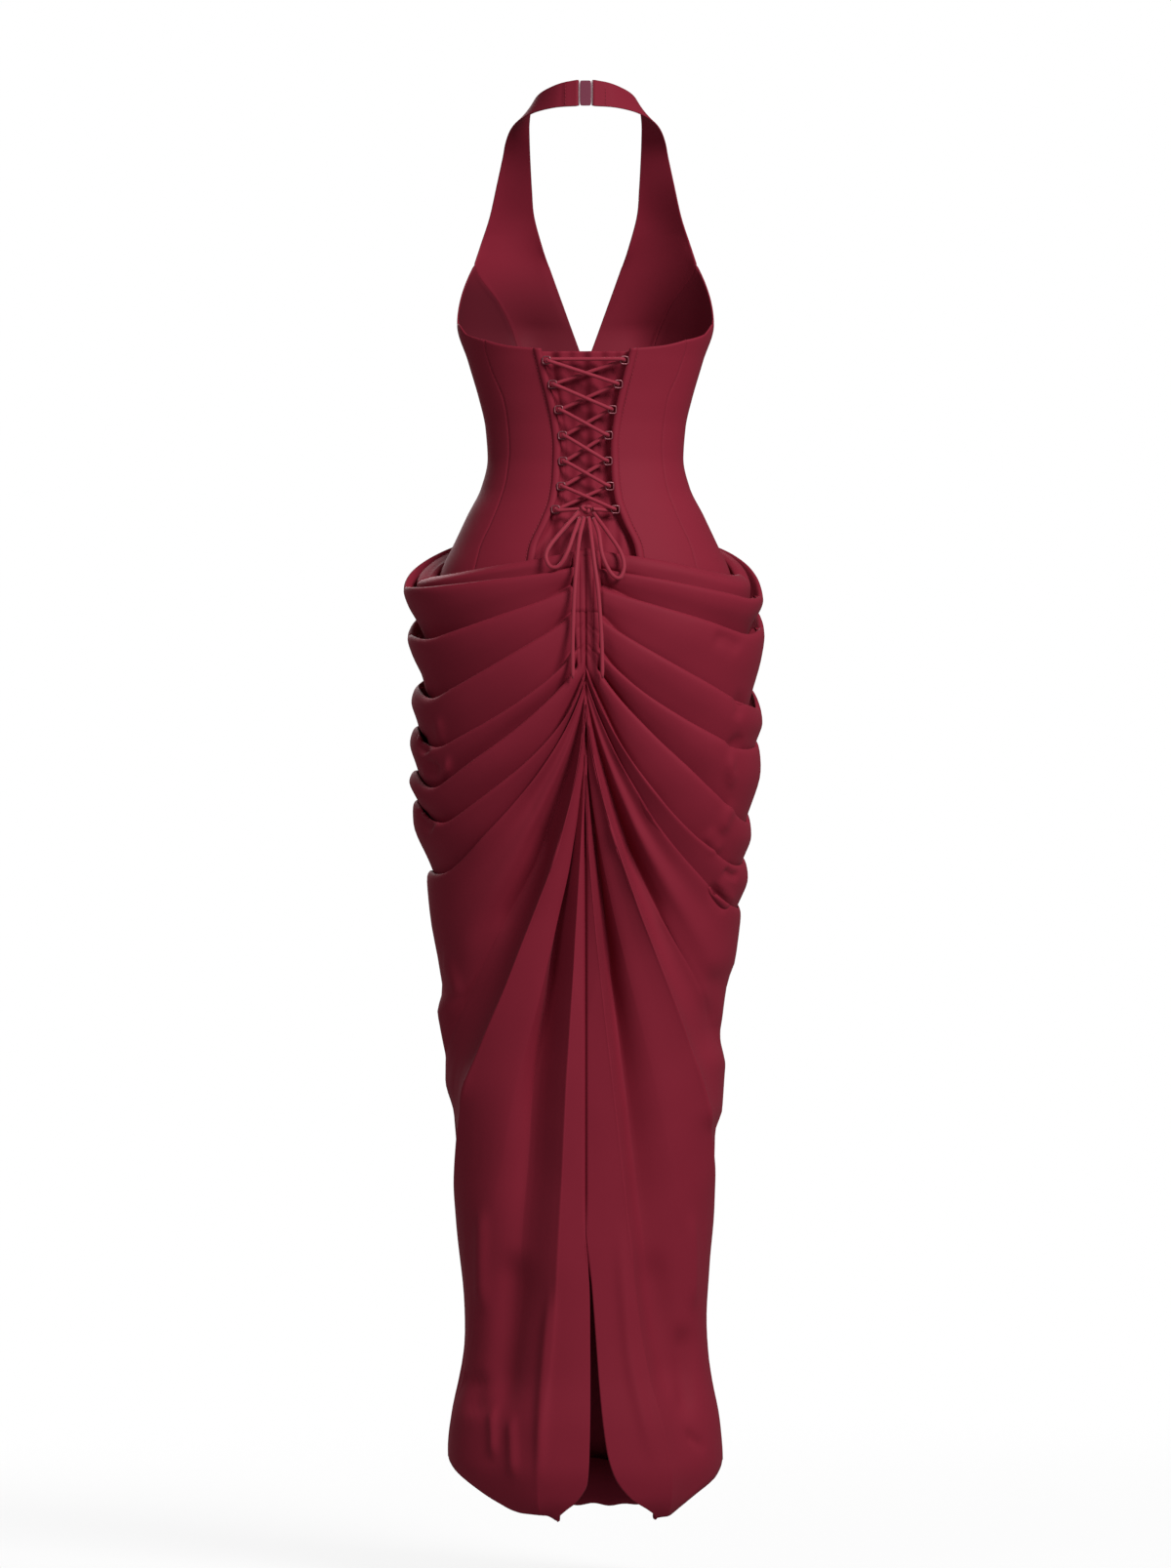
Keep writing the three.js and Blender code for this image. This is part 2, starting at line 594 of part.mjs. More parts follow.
// The threaded lace goes up through every ring in crossing strokes, straight across at the
// top and down again. At a ring it turns round the ring's inner bar.
function threadedLace() {
  const turnRadius = WIRE * Math.SQRT1_2 + SEAM + LACE / 2;
  const barX = (z) => ringX(z) - RING / 2 + WIRE / 2;
  // The stroke to the row above lies over the bar on the right, and under it on the left.
  const pass = (side, k, goingUp) => {
    const bend = [];
    for (let i = 0; i <= LACE_BEND; i += 1) {
      const turn = mix(-1, 1, i / LACE_BEND) * (Math.PI / 2);
      const x = barX(RING_ROWS[k]) + turnRadius * Math.cos(turn);
      const height = side * turnRadius * Math.sin(turn);
      bend.push(onBack(side * x, RING_ROWS[k] + 1.2 * Math.sin(turn), RING_OFF + height).point);
    }
    return goingUp ? bend : bend.reverse();
  };
  const last = RING_ROWS.length - 1;
  const points = [];
  const knotSide = KNOT.wide / 2 + SEAM + 0.2;
  points.push(onBack(KNOT.x + knotSide, KNOT.z, KNOT.off - 1).point);
  for (let k = last; k >= 0; k -= 1) points.push(...pass((last - k) % 2 === 0 ? 1 : -1, k, true));
  for (let k = 0; k <= last; k += 1) points.push(...pass(k % 2 === 0 ? -1 : 1, k, false));
  points.push(onBack(KNOT.x - knotSide, KNOT.z, KNOT.off - 1).point);
  return points;
}

// A place just outside the drape at the centre back.
function overDrape(x, z, off) {
  const p = skirtPoint(Math.asin(x / read(SKIRT, 'right', z)), Math.min(z, -489), off);
  const bodice = onBack(x, z, KNOT.off).point;
  const k = smooth((-452 - z) / 40);
  return new THREE.Vector3(x, mix(bodice.y, p.y, k), z);
}

// Skirt: a fold line at a share of its length.
function foldLine(fold, side, s) {
  const wide = (z) => read(SKIRT, side, z);
  const turnAt = (x, z) => Math.asin(Math.min(1, x / wide(z)));
  const endTurn = fold.hem === undefined ? Math.PI / 2 : turnAt(fold.hem, fold.end);
  const middle = { turn: turnAt(fold.across, fold.height), z: fold.height };
  const startTurn = turnAt(SEAM / 2, fold.start);
  const control = {
    turn: 2 * middle.turn - (startTurn + endTurn) / 2,
    z: 2 * middle.z - (fold.start + fold.end) / 2,
  };
  const bend = (a, b, c) => (1 - s) * (1 - s) * a + 2 * s * (1 - s) * b + s * s * c;
  const z = bend(fold.start, control.z, fold.end);
  const edge = Math.abs(read(SLIT, side, z));
  return {
    turn: fold.kind === 'edge' ? turnAt(edge, z) : bend(startTurn, control.turn, endTurn),
    z,
    rise: s < 0.5 ? mix(fold.rise[0], fold.rise[1], s * 2) : mix(fold.rise[1], fold.rise[2], s * 2 - 1),
    deep: (fold.deep ?? 0) * smooth(s * 1.6 + 0.1),
  };
}

// Rows of a skirt panel, as steps between neighbouring fold lines.
function foldSteps(folds) {
  const steps = [];
  for (let k = 0; k < folds.length - 1; k += 1) {
    const nextLip = folds[k + 1].kind === 'lip';
    if (folds[k].kind === 'lip' && nextLip) LIP_PROFILE.forEach((p) => steps.push({ k, ...p }));
    else if (folds[k].kind === 'lip') LAST_LIP_PROFILE.forEach((p) => steps.push({ k, ...p }));
    else SOFT_STEPS.forEach((share) => steps.push({ k, flat: share, full: share, drop: 0, soft: true }));
  }
  const end = folds.length - 1;
  steps.push({ k: end - 1, flat: 1, full: 1, drop: 0, soft: true });
  return steps;
}

// One point of the folded cloth from the two fold lines beside it.
function foldedPoint(step, above, below, full, sign) {
  const share = mix(step.flat, step.full, full);
  const turn = mix(above.turn, below.turn, share);
  const z = mix(above.z, below.z, share) - step.drop * below.deep;
  let off;
  if (step.soft) off = mix(above.rise, below.rise, smooth(share));
  else off = step.out * mix(above.rise, below.rise, share);
  const onSkirt = step.k === 0 ? smooth(step.flat * 1.15) : 1;
  const outside = skirtPoint(sign * turn, z, off);
  if (onSkirt === 1) return outside;
  return bodyPoint(sign * turn, z, 4.4 + Math.max(off, 3)).lerp(outside, onSkirt);
}

// Inner wall of the skirt, from the hidden seam up to the inner lip.
function innerRows(lines, sign, off) {
  const shares = [0, 0.5, 0.93];
  return shares.map((share) => lines.map((line) => bodyPoint(
    sign * line.turn, mix(BODICE_BOTTOM, line.z, share), off + share,
  )));
}

// How far the end of a row lies from the curve of the hem.
function hemShift(step, above, below, side) {
  if (above.z > HEM[side][HEM[side].length - 1].z + 1) return 0;
  const degrees = (mix(above.turn, below.turn, step.flat) * 180) / Math.PI;
  return read(HEM[side], 'z', degrees, 'degrees') - mix(above.z, below.z, step.flat);
}

function skirtBack(folds, side) {
  const sign = side === 'left' ? -1 : 1;
  const lines = folds.map((fold) => BACK_COLUMNS.map((s) => foldLine(fold, side, s)));
  const grid = innerRows(lines[0], sign, 1.4);
  foldSteps(folds).forEach((step) => {
    const end = BACK_COLUMNS.length - 1;
    const hemDrop = hemShift(step, lines[step.k][end], lines[step.k + 1][end], side);
    grid.push(BACK_COLUMNS.map((s, j) => {
      const full = step.k < 1 ? 1 : smooth((s - 0.02) / 0.3);
      const shift = hemDrop * s ** 6;
      const above = { ...lines[step.k][j], z: lines[step.k][j].z + shift };
      const below = { ...lines[step.k + 1][j], z: lines[step.k + 1][j].z + shift };
      return foldedPoint(step, above, below, full, sign);
    }));
  });
  grid.forEach((row) => {
    row[0].x = 0;
    row.forEach((p) => {
      p.x = sign * Math.max(SEAM / 2, sign * p.x);
      p.y = Math.min(p.y, FORM_Y - SEAM / 2);
    });
  });
  const plane = (i, j, rows, columns) => {
    if (j === 0 || i === rows - 1) return 'x';
    return j === columns - 1 ? 'y' : null;
  };
  return wall(grid, { flip: sign > 0, plane, side: sign });
}

// The front carries every fold round from side to side, softer towards the centre.
function skirtFront() {
  const count = FRONT_CLIMB.length;
  const lines = [];
  for (let k = 0; k < count; k += 1) {
    const line = [];
    for (let j = 0; j <= FRONT_COLUMNS; j += 1) {
      const u = j / FRONT_COLUMNS;
      const near = 1 - Math.abs(2 * u - 1);
      const soft = mix(1, 0.3, smooth(near));
      const left = LEFT_FOLDS[k];
      const right = RIGHT_FOLDS[k];
      line.push({
        turn: -Math.PI / 2 - u * Math.PI,
        z: mix(left.end, right.end, u) + FRONT_CLIMB[k] * smooth(near * 1.25) ** 0.7,
        rise: mix(left.rise[2], right.rise[2], u) * (k < 2 ? mix(1, 0.6, near) : soft),
        deep: mix(left.deep ?? 0, right.deep ?? 0, u) * soft,
      });
    }
    lines.push(line);
  }
  const folds = LEFT_FOLDS.slice(0, count);
  const grid = innerRows(lines[0], 1, 1.9);
  foldSteps(folds).forEach((step) => {
    grid.push(lines[step.k].map((above, j) => foldedPoint(step, above, lines[step.k + 1][j], 1, 1)));
  });
  grid.forEach((row) => {
    row[0].y = Math.max(row[0].y, FORM_Y + SEAM / 2);
    row[row.length - 1].y = Math.max(row[row.length - 1].y, FORM_Y + SEAM / 2);
  });
  const plane = (i, j, rows, columns) => (j === 0 || j === columns - 1 ? 'y' : null);
  return wall(grid, { plane });
}

// Neck clasp: a covered plate between two thin bars that the band's ends fold round.
const CLASP = { tall: 27, plateWide: 12.4, barWide: 2.2, thick: 1.6, corner: 1.5, barProud: 0.4, barCorner: 0.5 };

function roundedPlate(wide, tall, thick, corner) {
  const shape = new THREE.Shape();
  const w = wide / 2;
  const h = tall / 2;
  shape.moveTo(-w + corner, -h);
  shape.lineTo(w - corner, -h);
  shape.lineTo(w, -h + corner);
  shape.lineTo(w, h - corner);
  shape.lineTo(w - corner, h);
  shape.lineTo(-w + corner, h);
  shape.lineTo(-w, h - corner);
  shape.lineTo(-w, -h + corner);
  shape.closePath();
  const geometry = new THREE.ExtrudeGeometry(shape, { depth: thick, bevelEnabled: false, steps: 1 });
  geometry.rotateX(Math.PI / 2);
  return geometry;
}

// Assembly
function addPair(name, geometry, material) {
  add(`${name}_right`, geometry, material);
  add(`${name}_left`, mirrored(geometry), material);
}
addPair('back', backPanel(), cloth);
addPair('side_back', sideBackPanel(), cloth);
addPair('side_front', sideFrontPanel(), cloth);
addPair('halter_front', halterPanel(), cloth);
addPair('casing', casing(), cloth);
add('modesty_panel', modestyPanel(), insideCloth);
RING_ROWS.forEach((z, i) => {
  add(`loop_left_${i + 1}`, ringMesh(-1, z), metal);
  add(`loop_right_${i + 1}`, ringMesh(1, z), metal);
});
add('lace', tube(threadedLace(), LACE, 6, 1), cord);

const knot = new THREE.SphereGeometry(1, 10, 6);
knot.scale(KNOT.wide / 2, KNOT.thick / 2, KNOT.tall / 2);
const knotPlace = onBack(KNOT.x, KNOT.z, KNOT.off).point;
add('lace_knot', knot, cord).position.copy(knotPlace);

const route = (rows) => rows.map(({ x, z, off }) => overDrape(x, z, off));
for (const side of ['left', 'right']) {
  add(`bow_${side}`, tube(route(BOW[side]), LACE, 8, 1), cord);
  add(`lace_end_${side}`, tube(route(ENDS[side]), LACE, 8, 3), cord);
}

add('clasp_plate', roundedPlate(CLASP.plateWide, CLASP.tall, CLASP.thick, CLASP.corner), plate);
for (const [side, sign] of [['left', -1], ['right', 1]]) {
  const shape = roundedPlate(CLASP.barWide, CLASP.tall, CLASP.thick + CLASP.barProud, CLASP.barCorner);
  const bar = add(`clasp_bar_${side}`, shape, metal);
  bar.position.set(sign * (CLASP.plateWide / 2 + SEAM + CLASP.barWide / 2), CLASP.barProud / 2, 0);
}

add('skirt_back_left', skirtBack(LEFT_FOLDS, 'left'), cloth);
add('skirt_back_right', skirtBack(RIGHT_FOLDS, 'right'), cloth);
add('skirt_front', skirtFront(), cloth);

export default group;
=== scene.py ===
# %% [markdown]
# # A halter maxi dress, worn with no wearer
# The dress is wine coloured crepe. Its bodice is cut in panels, laced down the back and closed at
# the nape. Its skirt is one long tube whose back is gathered into the centre seam, so that the
# cloth falls in deep folds to both sides. Lengths are in millimetres until a mesh is made.
# The back of the dress faces -Y, where the camera stands, and +Z is up.

# %% Load the frame
import json
import math

import bpy
import numpy as np
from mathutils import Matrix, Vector


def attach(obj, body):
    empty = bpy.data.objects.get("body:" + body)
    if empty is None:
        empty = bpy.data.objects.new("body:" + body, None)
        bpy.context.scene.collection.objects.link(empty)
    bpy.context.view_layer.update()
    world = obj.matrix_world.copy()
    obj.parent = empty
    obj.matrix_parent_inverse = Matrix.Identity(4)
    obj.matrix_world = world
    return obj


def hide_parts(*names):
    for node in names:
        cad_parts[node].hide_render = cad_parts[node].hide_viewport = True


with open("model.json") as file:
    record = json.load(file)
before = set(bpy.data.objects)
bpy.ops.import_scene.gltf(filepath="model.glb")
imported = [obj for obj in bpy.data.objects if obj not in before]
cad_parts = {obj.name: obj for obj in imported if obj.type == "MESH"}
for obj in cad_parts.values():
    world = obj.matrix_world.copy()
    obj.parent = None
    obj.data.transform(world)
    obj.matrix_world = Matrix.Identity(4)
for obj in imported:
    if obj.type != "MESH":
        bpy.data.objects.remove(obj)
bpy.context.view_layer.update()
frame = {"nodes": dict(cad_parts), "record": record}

MM = 0.001
SIDES = (("left", -1), ("right", 1))
print("nodes to dress:", len(frame["nodes"]))

# %% [markdown]
# ## Camera
# The picture is 1200 by 1607 and looks straight at the back of the dress. One of its pixels is
# 1.05 mm on the dress. A long lens from nine metres keeps the sides from leaning away.

# %% Camera
PIXEL = 1.05 * MM
PHOTO = (1200, 1607)
FORM_Y = 58.0
AXIS = np.array([0, FORM_Y, 0])
UPWARDS = np.array([0, 0, 1])
VIEW_HEIGHT = PHOTO[1] * PIXEL
MIDDLE_Z = (100 - PHOTO[1] / 2) * PIXEL
CAMERA_DISTANCE = 9.0
SENSOR = 36.0

camera_data = bpy.data.cameras.new("camera")
camera_data.sensor_width = SENSOR
camera_data.sensor_fit = "VERTICAL"
camera_data.sensor_height = SENSOR
camera_data.lens = SENSOR * CAMERA_DISTANCE / VIEW_HEIGHT
camera_data.clip_end = 60
camera = bpy.data.objects.new("camera", camera_data)
camera.location = (0, FORM_Y * MM - CAMERA_DISTANCE, MIDDLE_Z)
camera.rotation_euler = (math.radians(90), 0, 0)
bpy.context.scene.collection.objects.link(camera)
bpy.context.scene.camera = camera
print("lens", round(camera_data.lens, 1), "mm")

# %% [markdown]
# ## Tables and smooth curves
# A garment is described by sections: so wide here, so deep there. Each table below has named
# columns and a row for each section. A reader runs a smooth curve through the rows, so that a
# few measurements give a whole seam.

# %% Tables
def table(columns, *rows):
    """Columns by name, sorted by the first one."""
    values = np.array(sorted(rows), float)
    return dict(zip(columns.split(), values.T))


def read(rows, column, at):
    """Monotone cubic through a column: the slope at a row is the harmonic mean of the chords
    beside it, and nothing where they differ in sign, so the curve never overshoots."""
    keys = next(iter(rows.values()))
    values = rows[column]
    chord = np.diff(values) / np.diff(keys)
    product = chord[:-1] * chord[1:]
    slope = np.zeros(len(keys))
    with np.errstate(divide="ignore", invalid="ignore"):
        slope[1:-1] = np.where(product > 0, 2 * product / (chord[:-1] + chord[1:]), 0)
    at = np.clip(at, keys[0], keys[-1])
    i = np.clip(np.searchsorted(keys, at, side="right") - 1, 0, len(keys) - 2)
    span = keys[i + 1] - keys[i]
    t = (at - keys[i]) / span
    eased = t * t * (3 - 2 * t)
    bend = span * t * (1 - t) * (slope[i] * (1 - t) - slope[i + 1] * t)
    return values[i] * (1 - eased) + values[i + 1] * eased + bend


def mix(a, b, t):
    return a + (b - a) * t


def smooth(t):
    """0 below 0, 1 above 1 and an S curve between."""
    k = np.clip(t, 0, 1)
    return k * k * (3 - 2 * k)


def bell(distance, wide):
    return np.exp(-(distance / wide) ** 2)


def unit(v):
    return v / np.maximum(np.linalg.norm(v, axis=-1, keepdims=True), 1e-9)


# %% [markdown]
# ## From grids to cloth
# Cloth is a surface of two parameters: one runs across the piece and one down it. Worked out on a
# grid, it becomes a mesh with a second face a cloth's thickness inside and a rounded rim between
# the two, so each piece is one closed shell.

# %% Mesh makers
RIM_OUT = 0.3


def add_mesh(name, points, faces):
    mesh = bpy.data.meshes.new(name)
    mesh.from_pydata((points * MM).tolist(), [], [f.tolist() for f in faces])
    mesh.validate()
    mesh.shade_smooth()
    piece = bpy.data.objects.new(name, mesh)
    bpy.context.scene.collection.objects.link(piece)
    return piece


def grid_normals(grid):
    """Across times down, turned so that on the whole it points away from the body's axis. The
    second value is -1 where it had to be turned."""
    down, across = np.gradient(grid, axis=(0, 1))
    normal = unit(np.cross(across, down))
    away = grid - AXIS
    away[..., 2] = 0
    turned = np.sign(np.sum(normal * away))
    return normal * turned, turned


def joined(here, ahead):
    """Four-sided faces between two rings of corner numbers, or between many pairs of them."""
    corners = [here, ahead, np.roll(ahead, -1, -1), np.roll(here, -1, -1)]
    return np.stack(corners, -1).reshape(-1, 4)


def wall(name, outer, thick, inner=None):
    """A closed shell: the outer grid, an inner one lower by the thickness, and a rim whose
    middle stands out by RIM_OUT of it."""
    rows, columns = outer.shape[:2]
    normal, turned = grid_normals(outer)
    if inner is None:
        inner = outer - normal * thick
    count = rows * columns
    ids = np.arange(count).reshape(rows, columns)
    quads = np.stack([ids[:-1, :-1], ids[:-1, 1:], ids[1:, 1:], ids[1:, :-1]], -1).reshape(-1, 4)
    border = np.concatenate([ids[0, :], ids[1:, -1], ids[-1, -2::-1], ids[-2:0:-1, 0]])
    row, column = np.divmod(border, columns)
    nearby = np.clip(row, 1, rows - 2) * columns + np.clip(column, 1, columns - 2)
    outer, inner = outer.reshape(-1, 3), inner.reshape(-1, 3)
    out = unit(outer[border] - outer[nearby])
    middle = (outer[border] + inner[border]) / 2 + out * thick * RIM_OUT
    rim = np.arange(len(border)) + 2 * count
    edges = joined(border, rim), joined(rim, border + count)
    faces = np.concatenate([quads, quads[:, ::-1] + count, *edges])
    if turned < 0:
        faces = faces[:, ::-1]
    piece = add_mesh(name, np.concatenate([outer, inner, middle]), faces)
    piece["grid_points"] = count
    return piece


def area_of(grid):
    """Half the cross product of the diagonals, summed over the grid's cells, in square metres."""
    a = grid[1:, 1:] - grid[:-1, :-1]
    b = grid[1:, :-1] - grid[:-1, 1:]
    return float(np.linalg.norm(np.cross(a, b), axis=-1).sum() / 2 * MM * MM)


def around(along, reference, sides, flat=1.0):
    """Directions to the corners of rings that lie across a path. The reference direction, which
    the path never follows, says how a ring is turned."""
    wide = unit(np.cross(along, np.array(reference, float)))
    high = np.cross(wide, along)
    turn = np.arange(sides)[:, None] * 2 * math.pi / sides
    return wide[..., None, :] * np.cos(turn) + high[..., None, :] * np.sin(turn) * flat


def tube(name, path, radius, reference, closed=False, flat=1.0, sides=12):
    along = np.roll(path, -1, 0) - np.roll(path, 1, 0)
    if not closed:
        along[0] = path[1] - path[0]
        along[-1] = path[-1] - path[-2]
    ring = around(unit(along), reference, sides, flat)
    width = np.broadcast_to(radius, (len(path),))[:, None, None]
    points = (path[:, None] + ring * width).reshape(-1, 3)
    ids = np.arange(len(points)).reshape(-1, sides)
    last = joined(ids[-1], ids[0]) if closed else (ids[0], ids[-1, ::-1])
    return add_mesh(name, points, [*joined(ids[:-1], ids[1:]), *last])


def through(points, each):
    """A Catmull-Rom curve through the points, with the same number of steps between two."""
    points = np.array(points, float)
    before = points[0] * 2 - points[1]
    after = points[-1] * 2 - points[-2]
    full = np.concatenate([[before], points, [after]])
    t = (np.arange(each) / each)[None, :, None]
    p0, p1, p2, p3 = (full[k:len(full) - 3 + k, None] for k in range(4))
    curve = 0.5 * (2 * p1 + (p2 - p0) * t + (2 * p0 - 5 * p1 + 4 * p2 - p3) * t ** 2
                   + (3 * p1 - p0 - 3 * p2 + p3) * t ** 3)
    return np.concatenate([curve.reshape(-1, points.shape[1]), points[-1:]])


# %% [markdown]
# ## The body form
# Nobody wears the dress, but its cloth still has the shape that its cut gives it. The sections
# say how wide it is, and how deep behind and in front. Two soft bells add the fullness that the
# cups are cut for.

# %% Body form
BODY = table(
    "z wide back front",
    (-30, 92, 56, 34), (-63, 112, 64, 50), (-126, 130, 76, 78), (-181, 136, 83, 97),
    (-245, 138.6, 86, 104), (-284, 126.5, 80, 98), (-325, 114.5, 74, 88), (-357, 107.6, 71, 82),
    (-388, 105.5, 72, 80), (-420, 112.3, 78, 82), (-451, 127.6, 88, 88), (-477, 140, 98, 93),
    (-513, 156, 110, 99), (-560, 166, 118, 102),
)
SKIRT = table(
    "z left right back front",
    (-430, 150, 150, 92, 92), (-480, 176, 172, 108, 102), (-520, 185, 179, 121, 112),
    (-560, 180, 180, 129, 119), (-620, 176, 180, 133, 124), (-690, 178, 180, 132, 126),
    (-745, 179, 176, 129, 125), (-785, 174, 169, 127, 123), (-827, 164, 166, 124, 121),
    (-880, 162, 161, 121, 119), (-970, 153, 155, 117, 117), (-1050, 151, 148, 114, 115),
    (-1134, 139, 139, 111, 112), (-1218, 133, 132, 109, 110), (-1302, 127, 128, 108, 109),
    (-1365, 131, 132, 110, 111), (-1428, 146, 145, 117, 117), (-1465, 148, 148, 118, 118),
    (-1500, 140, 141, 112, 112), (-1535, 124, 125, 98, 99),
)
CUP = {"x": 72, "z": -258, "wide": 36, "tall": 48, "full": 17}


def section_point(turn, z, wide, back, front):
    """An ellipse whose depth differs behind and in front. turn is 0 at the centre back, a
    right angle at a side and half a circle at the centre front."""
    depth = np.where(np.cos(turn) > 0, back, front)
    y = FORM_Y - depth * np.cos(turn)
    return np.stack(np.broadcast_arrays(wide * np.sin(turn), y, z * 1.0), -1)


def body_point(turn, z, off=0.0):
    wide = read(BODY, "wide", z) + off
    point = section_point(turn, z, wide, read(BODY, "back", z) + off, read(BODY, "front", z) + off)
    across = (np.abs(point[..., 0]) - CUP["x"]) / CUP["wide"]
    up = (point[..., 2] - CUP["z"]) / CUP["tall"]
    full = CUP["full"] * np.exp(-across ** 2 - up ** 2)
    point[..., 1] -= np.minimum(np.cos(turn), 0) * full
    return point


def back_turn(x, z):
    return np.arcsin(np.clip(x / read(BODY, "wide", z), -1, 1))


def front_turn(x, z):
    return math.pi - back_turn(x, z)


def on_back(x, z, off):
    """A place on the bodice's back by distance across and height, moved out by off."""
    x, z, off = np.broadcast_arrays(np.array(x, float), z, off)
    turn = back_turn(x, z)
    sine = np.sin(turn) / read(BODY, "wide", z)
    cosine = np.cos(turn) / read(BODY, "back", z)
    out = unit(np.stack([sine, -cosine, np.zeros_like(sine)], -1))
    return body_point(turn, z) + out * off[..., None]


def skirt_point(turn, z, off=0.0):
    side = np.where(np.sin(turn) < 0, read(SKIRT, "left", z), read(SKIRT, "right", z))
    return section_point(
        turn, z, side + off, read(SKIRT, "back", z) + off, read(SKIRT, "front", z) + off)


# %% [markdown]
# ## The lace's bow and free ends
# The lace is a limp round cord of the dress's own cloth. Its bow hangs from the knot under the
# last rings, over the top folds of the skirt. The route's points are listed.

# %% Bow and free ends
KNOT = {"x": 1, "z": -446, "wide": 13, "tall": 11, "thick": 10, "off": 9}
LACE = 4.2
TIP = (0.8, 0.35)
DRAPE_TOP, DRAPE_MEETS = -489, -452
BOW = {
    "left": [(-7, -449, 10), (-22, -466, 10), (-38, -486, 11), (-42, -498, 12), (-37, -508, 12),
             (-28, -507, 12), (-19, -492, 14), (-12, -472, 16), (-6, -455.5, 17)],
    "right": [(8.5, -450, 10), (24, -472, 10), (37, -492, 11), (41, -508, 12), (36, -520, 12),
              (27, -515, 12), (18, -496, 14), (14, -472, 16), (8.5, -456, 17)],
}
ENDS = {
    "left": [(-1.5, -455, 13), (-6, -475, 14), (-9, -500, 16), (-12, -540, 14), (-13.5, -585, 13),
             (-13.5, -627, 13)],
    "right": [(3.5, -455, 12), (6, -475, 12), (9, -500, 15), (14, -540, 14), (17, -585, 13),
              (18, -627, 13)],
}


def over_drape(route):
    """Places just outside the drape: on the bodice's form above it, then on the skirt's."""
    x, z, off = np.array(route, float).T
    low = np.minimum(z, DRAPE_TOP)
    turn = np.arcsin(x / read(SKIRT, "right", low))
    skirt_y = skirt_point(turn, low, off)[:, 1]
    bodice_y = on_back(x, z, KNOT["off"])[:, 1]
    return np.stack([x, mix(bodice_y, skirt_y, smooth((DRAPE_MEETS - z) / 40)), z], -1)


def steps_of(path):
    return np.linalg.norm(np.diff(path, axis=0), axis=1)


def path_length(path):
    return float(steps_of(path).sum() * MM)


def by_length(path):
    """The path's length, and a finder of the places at given distances from its start."""
    length = np.concatenate([[0], np.cumsum(steps_of(path))])

    def find(at):
        return np.stack([np.interp(at, length, path[:, k]) for k in range(3)], -1)

    return length[-1], find


cords = {}
for side in ("left", "right"):
    for kind, routes, each in (("bow", BOW, 6), ("lace_end", ENDS, 10)):
        path = through(over_drape(routes[side]), each)
        radius = np.full(len(path), LACE / 2)
        if kind == "lace_end":
            radius[-2:] *= TIP
        cord = tube(f"{kind}_{side}_cord", path, radius, (0, 1, 0), flat=0.8)
        cords[f"{kind}_{side}"] = (cord, path)
        print(kind, side, round(path_length(path), 4), "m")

# %% [markdown]
# ## Bodice panels
# The bodice is eight panels on princess seams. Each is a grid between two seams: one parameter
# goes up the panel and the other across it. Beside a seam the cloth dips a little, as sewn cloth
# does, and on the inside the seam allowances make it thicker.

# %% Seams of the bodice
CLOTH = 1.6
BOTTOM = -556.0
ARMHOLE_Z = -178.0
SIDE_TOP_Z = -244.0
HALF_SEAM = 0.12
BACK_SEAMS = table(
    "z opening side_back",
    (-268, 48, 108), (-295, 42.5, 101), (-327, 34.5, 88), (-349, 30, 84), (-380, 27, 82),
    (-410, 28, 85), (-435, 31.5, 92), (-458, 40, 101), (-489, 53, 114), (-556, 60, 126),
)
BACK_TOP = table(
    "x z", (0, -276), (48, -274), (76, -271), (105, -264.5), (128, -257), (138.6, SIDE_TOP_Z))
PRINCESS = table(
    "z x",
    (-556, 84), (-480, 76), (-430, 62), (-388, 55), (-330, 64), (-269, 74), (-249, 80),
    (-218, 95), (ARMHOLE_Z, 121),
)
V_NECK = {"share": 0.73, "z": -286, "top_x": 39.5, "top_z": ARMHOLE_Z}
HALTER = [
    (47, 139, -156, 113.5, 108, -155), (56, 126, -123, 104, 106, -126),
    (58.5, 113, -95, 96.6, 97, -94), (60, 100, -68, 89.5, 87, -63), (61, 86, -43, 86, 74, -46),
    (61, 70, -24, 80, 58, -33), (58, 50, -9, 70, 43, -24), (49, 27, 2, 54, 24, -18),
    (30, 6.6, 10, 32, 6, -14.5), (8.1, -1.4, 14, 8.1, -1.4, -13.6),
]
SEAM_DIP = 0.5
SEAM_REACH = 1.5
ALLOWANCE = 5.0
ALLOWANCE_HIGH = 0.7
UNEVEN = 0.35
FAR = 99.0


def dip(distance):
    """A narrow valley beside a seam: a bell of the distance to it."""
    return -SEAM_DIP * bell(distance, SEAM_REACH)


def allowance(distance):
    """Extra thickness inside, as far as the seam allowance reaches."""
    return ALLOWANCE_HIGH * smooth((ALLOWANCE - distance) / (ALLOWANCE / 2))


def ripple(points, high):
    """Slow unevenness of real cloth: three sine waves that never line up."""
    x, y, z = points[..., 0], points[..., 1], points[..., 2]
    wave = np.sin(x * 0.071 + z * 0.023 + 1.3) + np.sin(z * 0.047 - y * 0.06 + 0.4)
    return high * (wave + np.sin(x * 0.031 - z * 0.089 + y * 0.05)) / 3


# %% Panels from seam to seam
def spread(count, bunch=0.0):
    """Shares from 0 to 1, closer together at both ends by the amount of bunch."""
    u = np.linspace(0, 1, count)
    return u - bunch * np.sin(2 * math.pi * u) / (2 * math.pi)


ROWS, COLUMNS = 110, 30
UP = spread(ROWS)[:, None]
ACROSS = spread(COLUMNS, 0.7)[None, :]


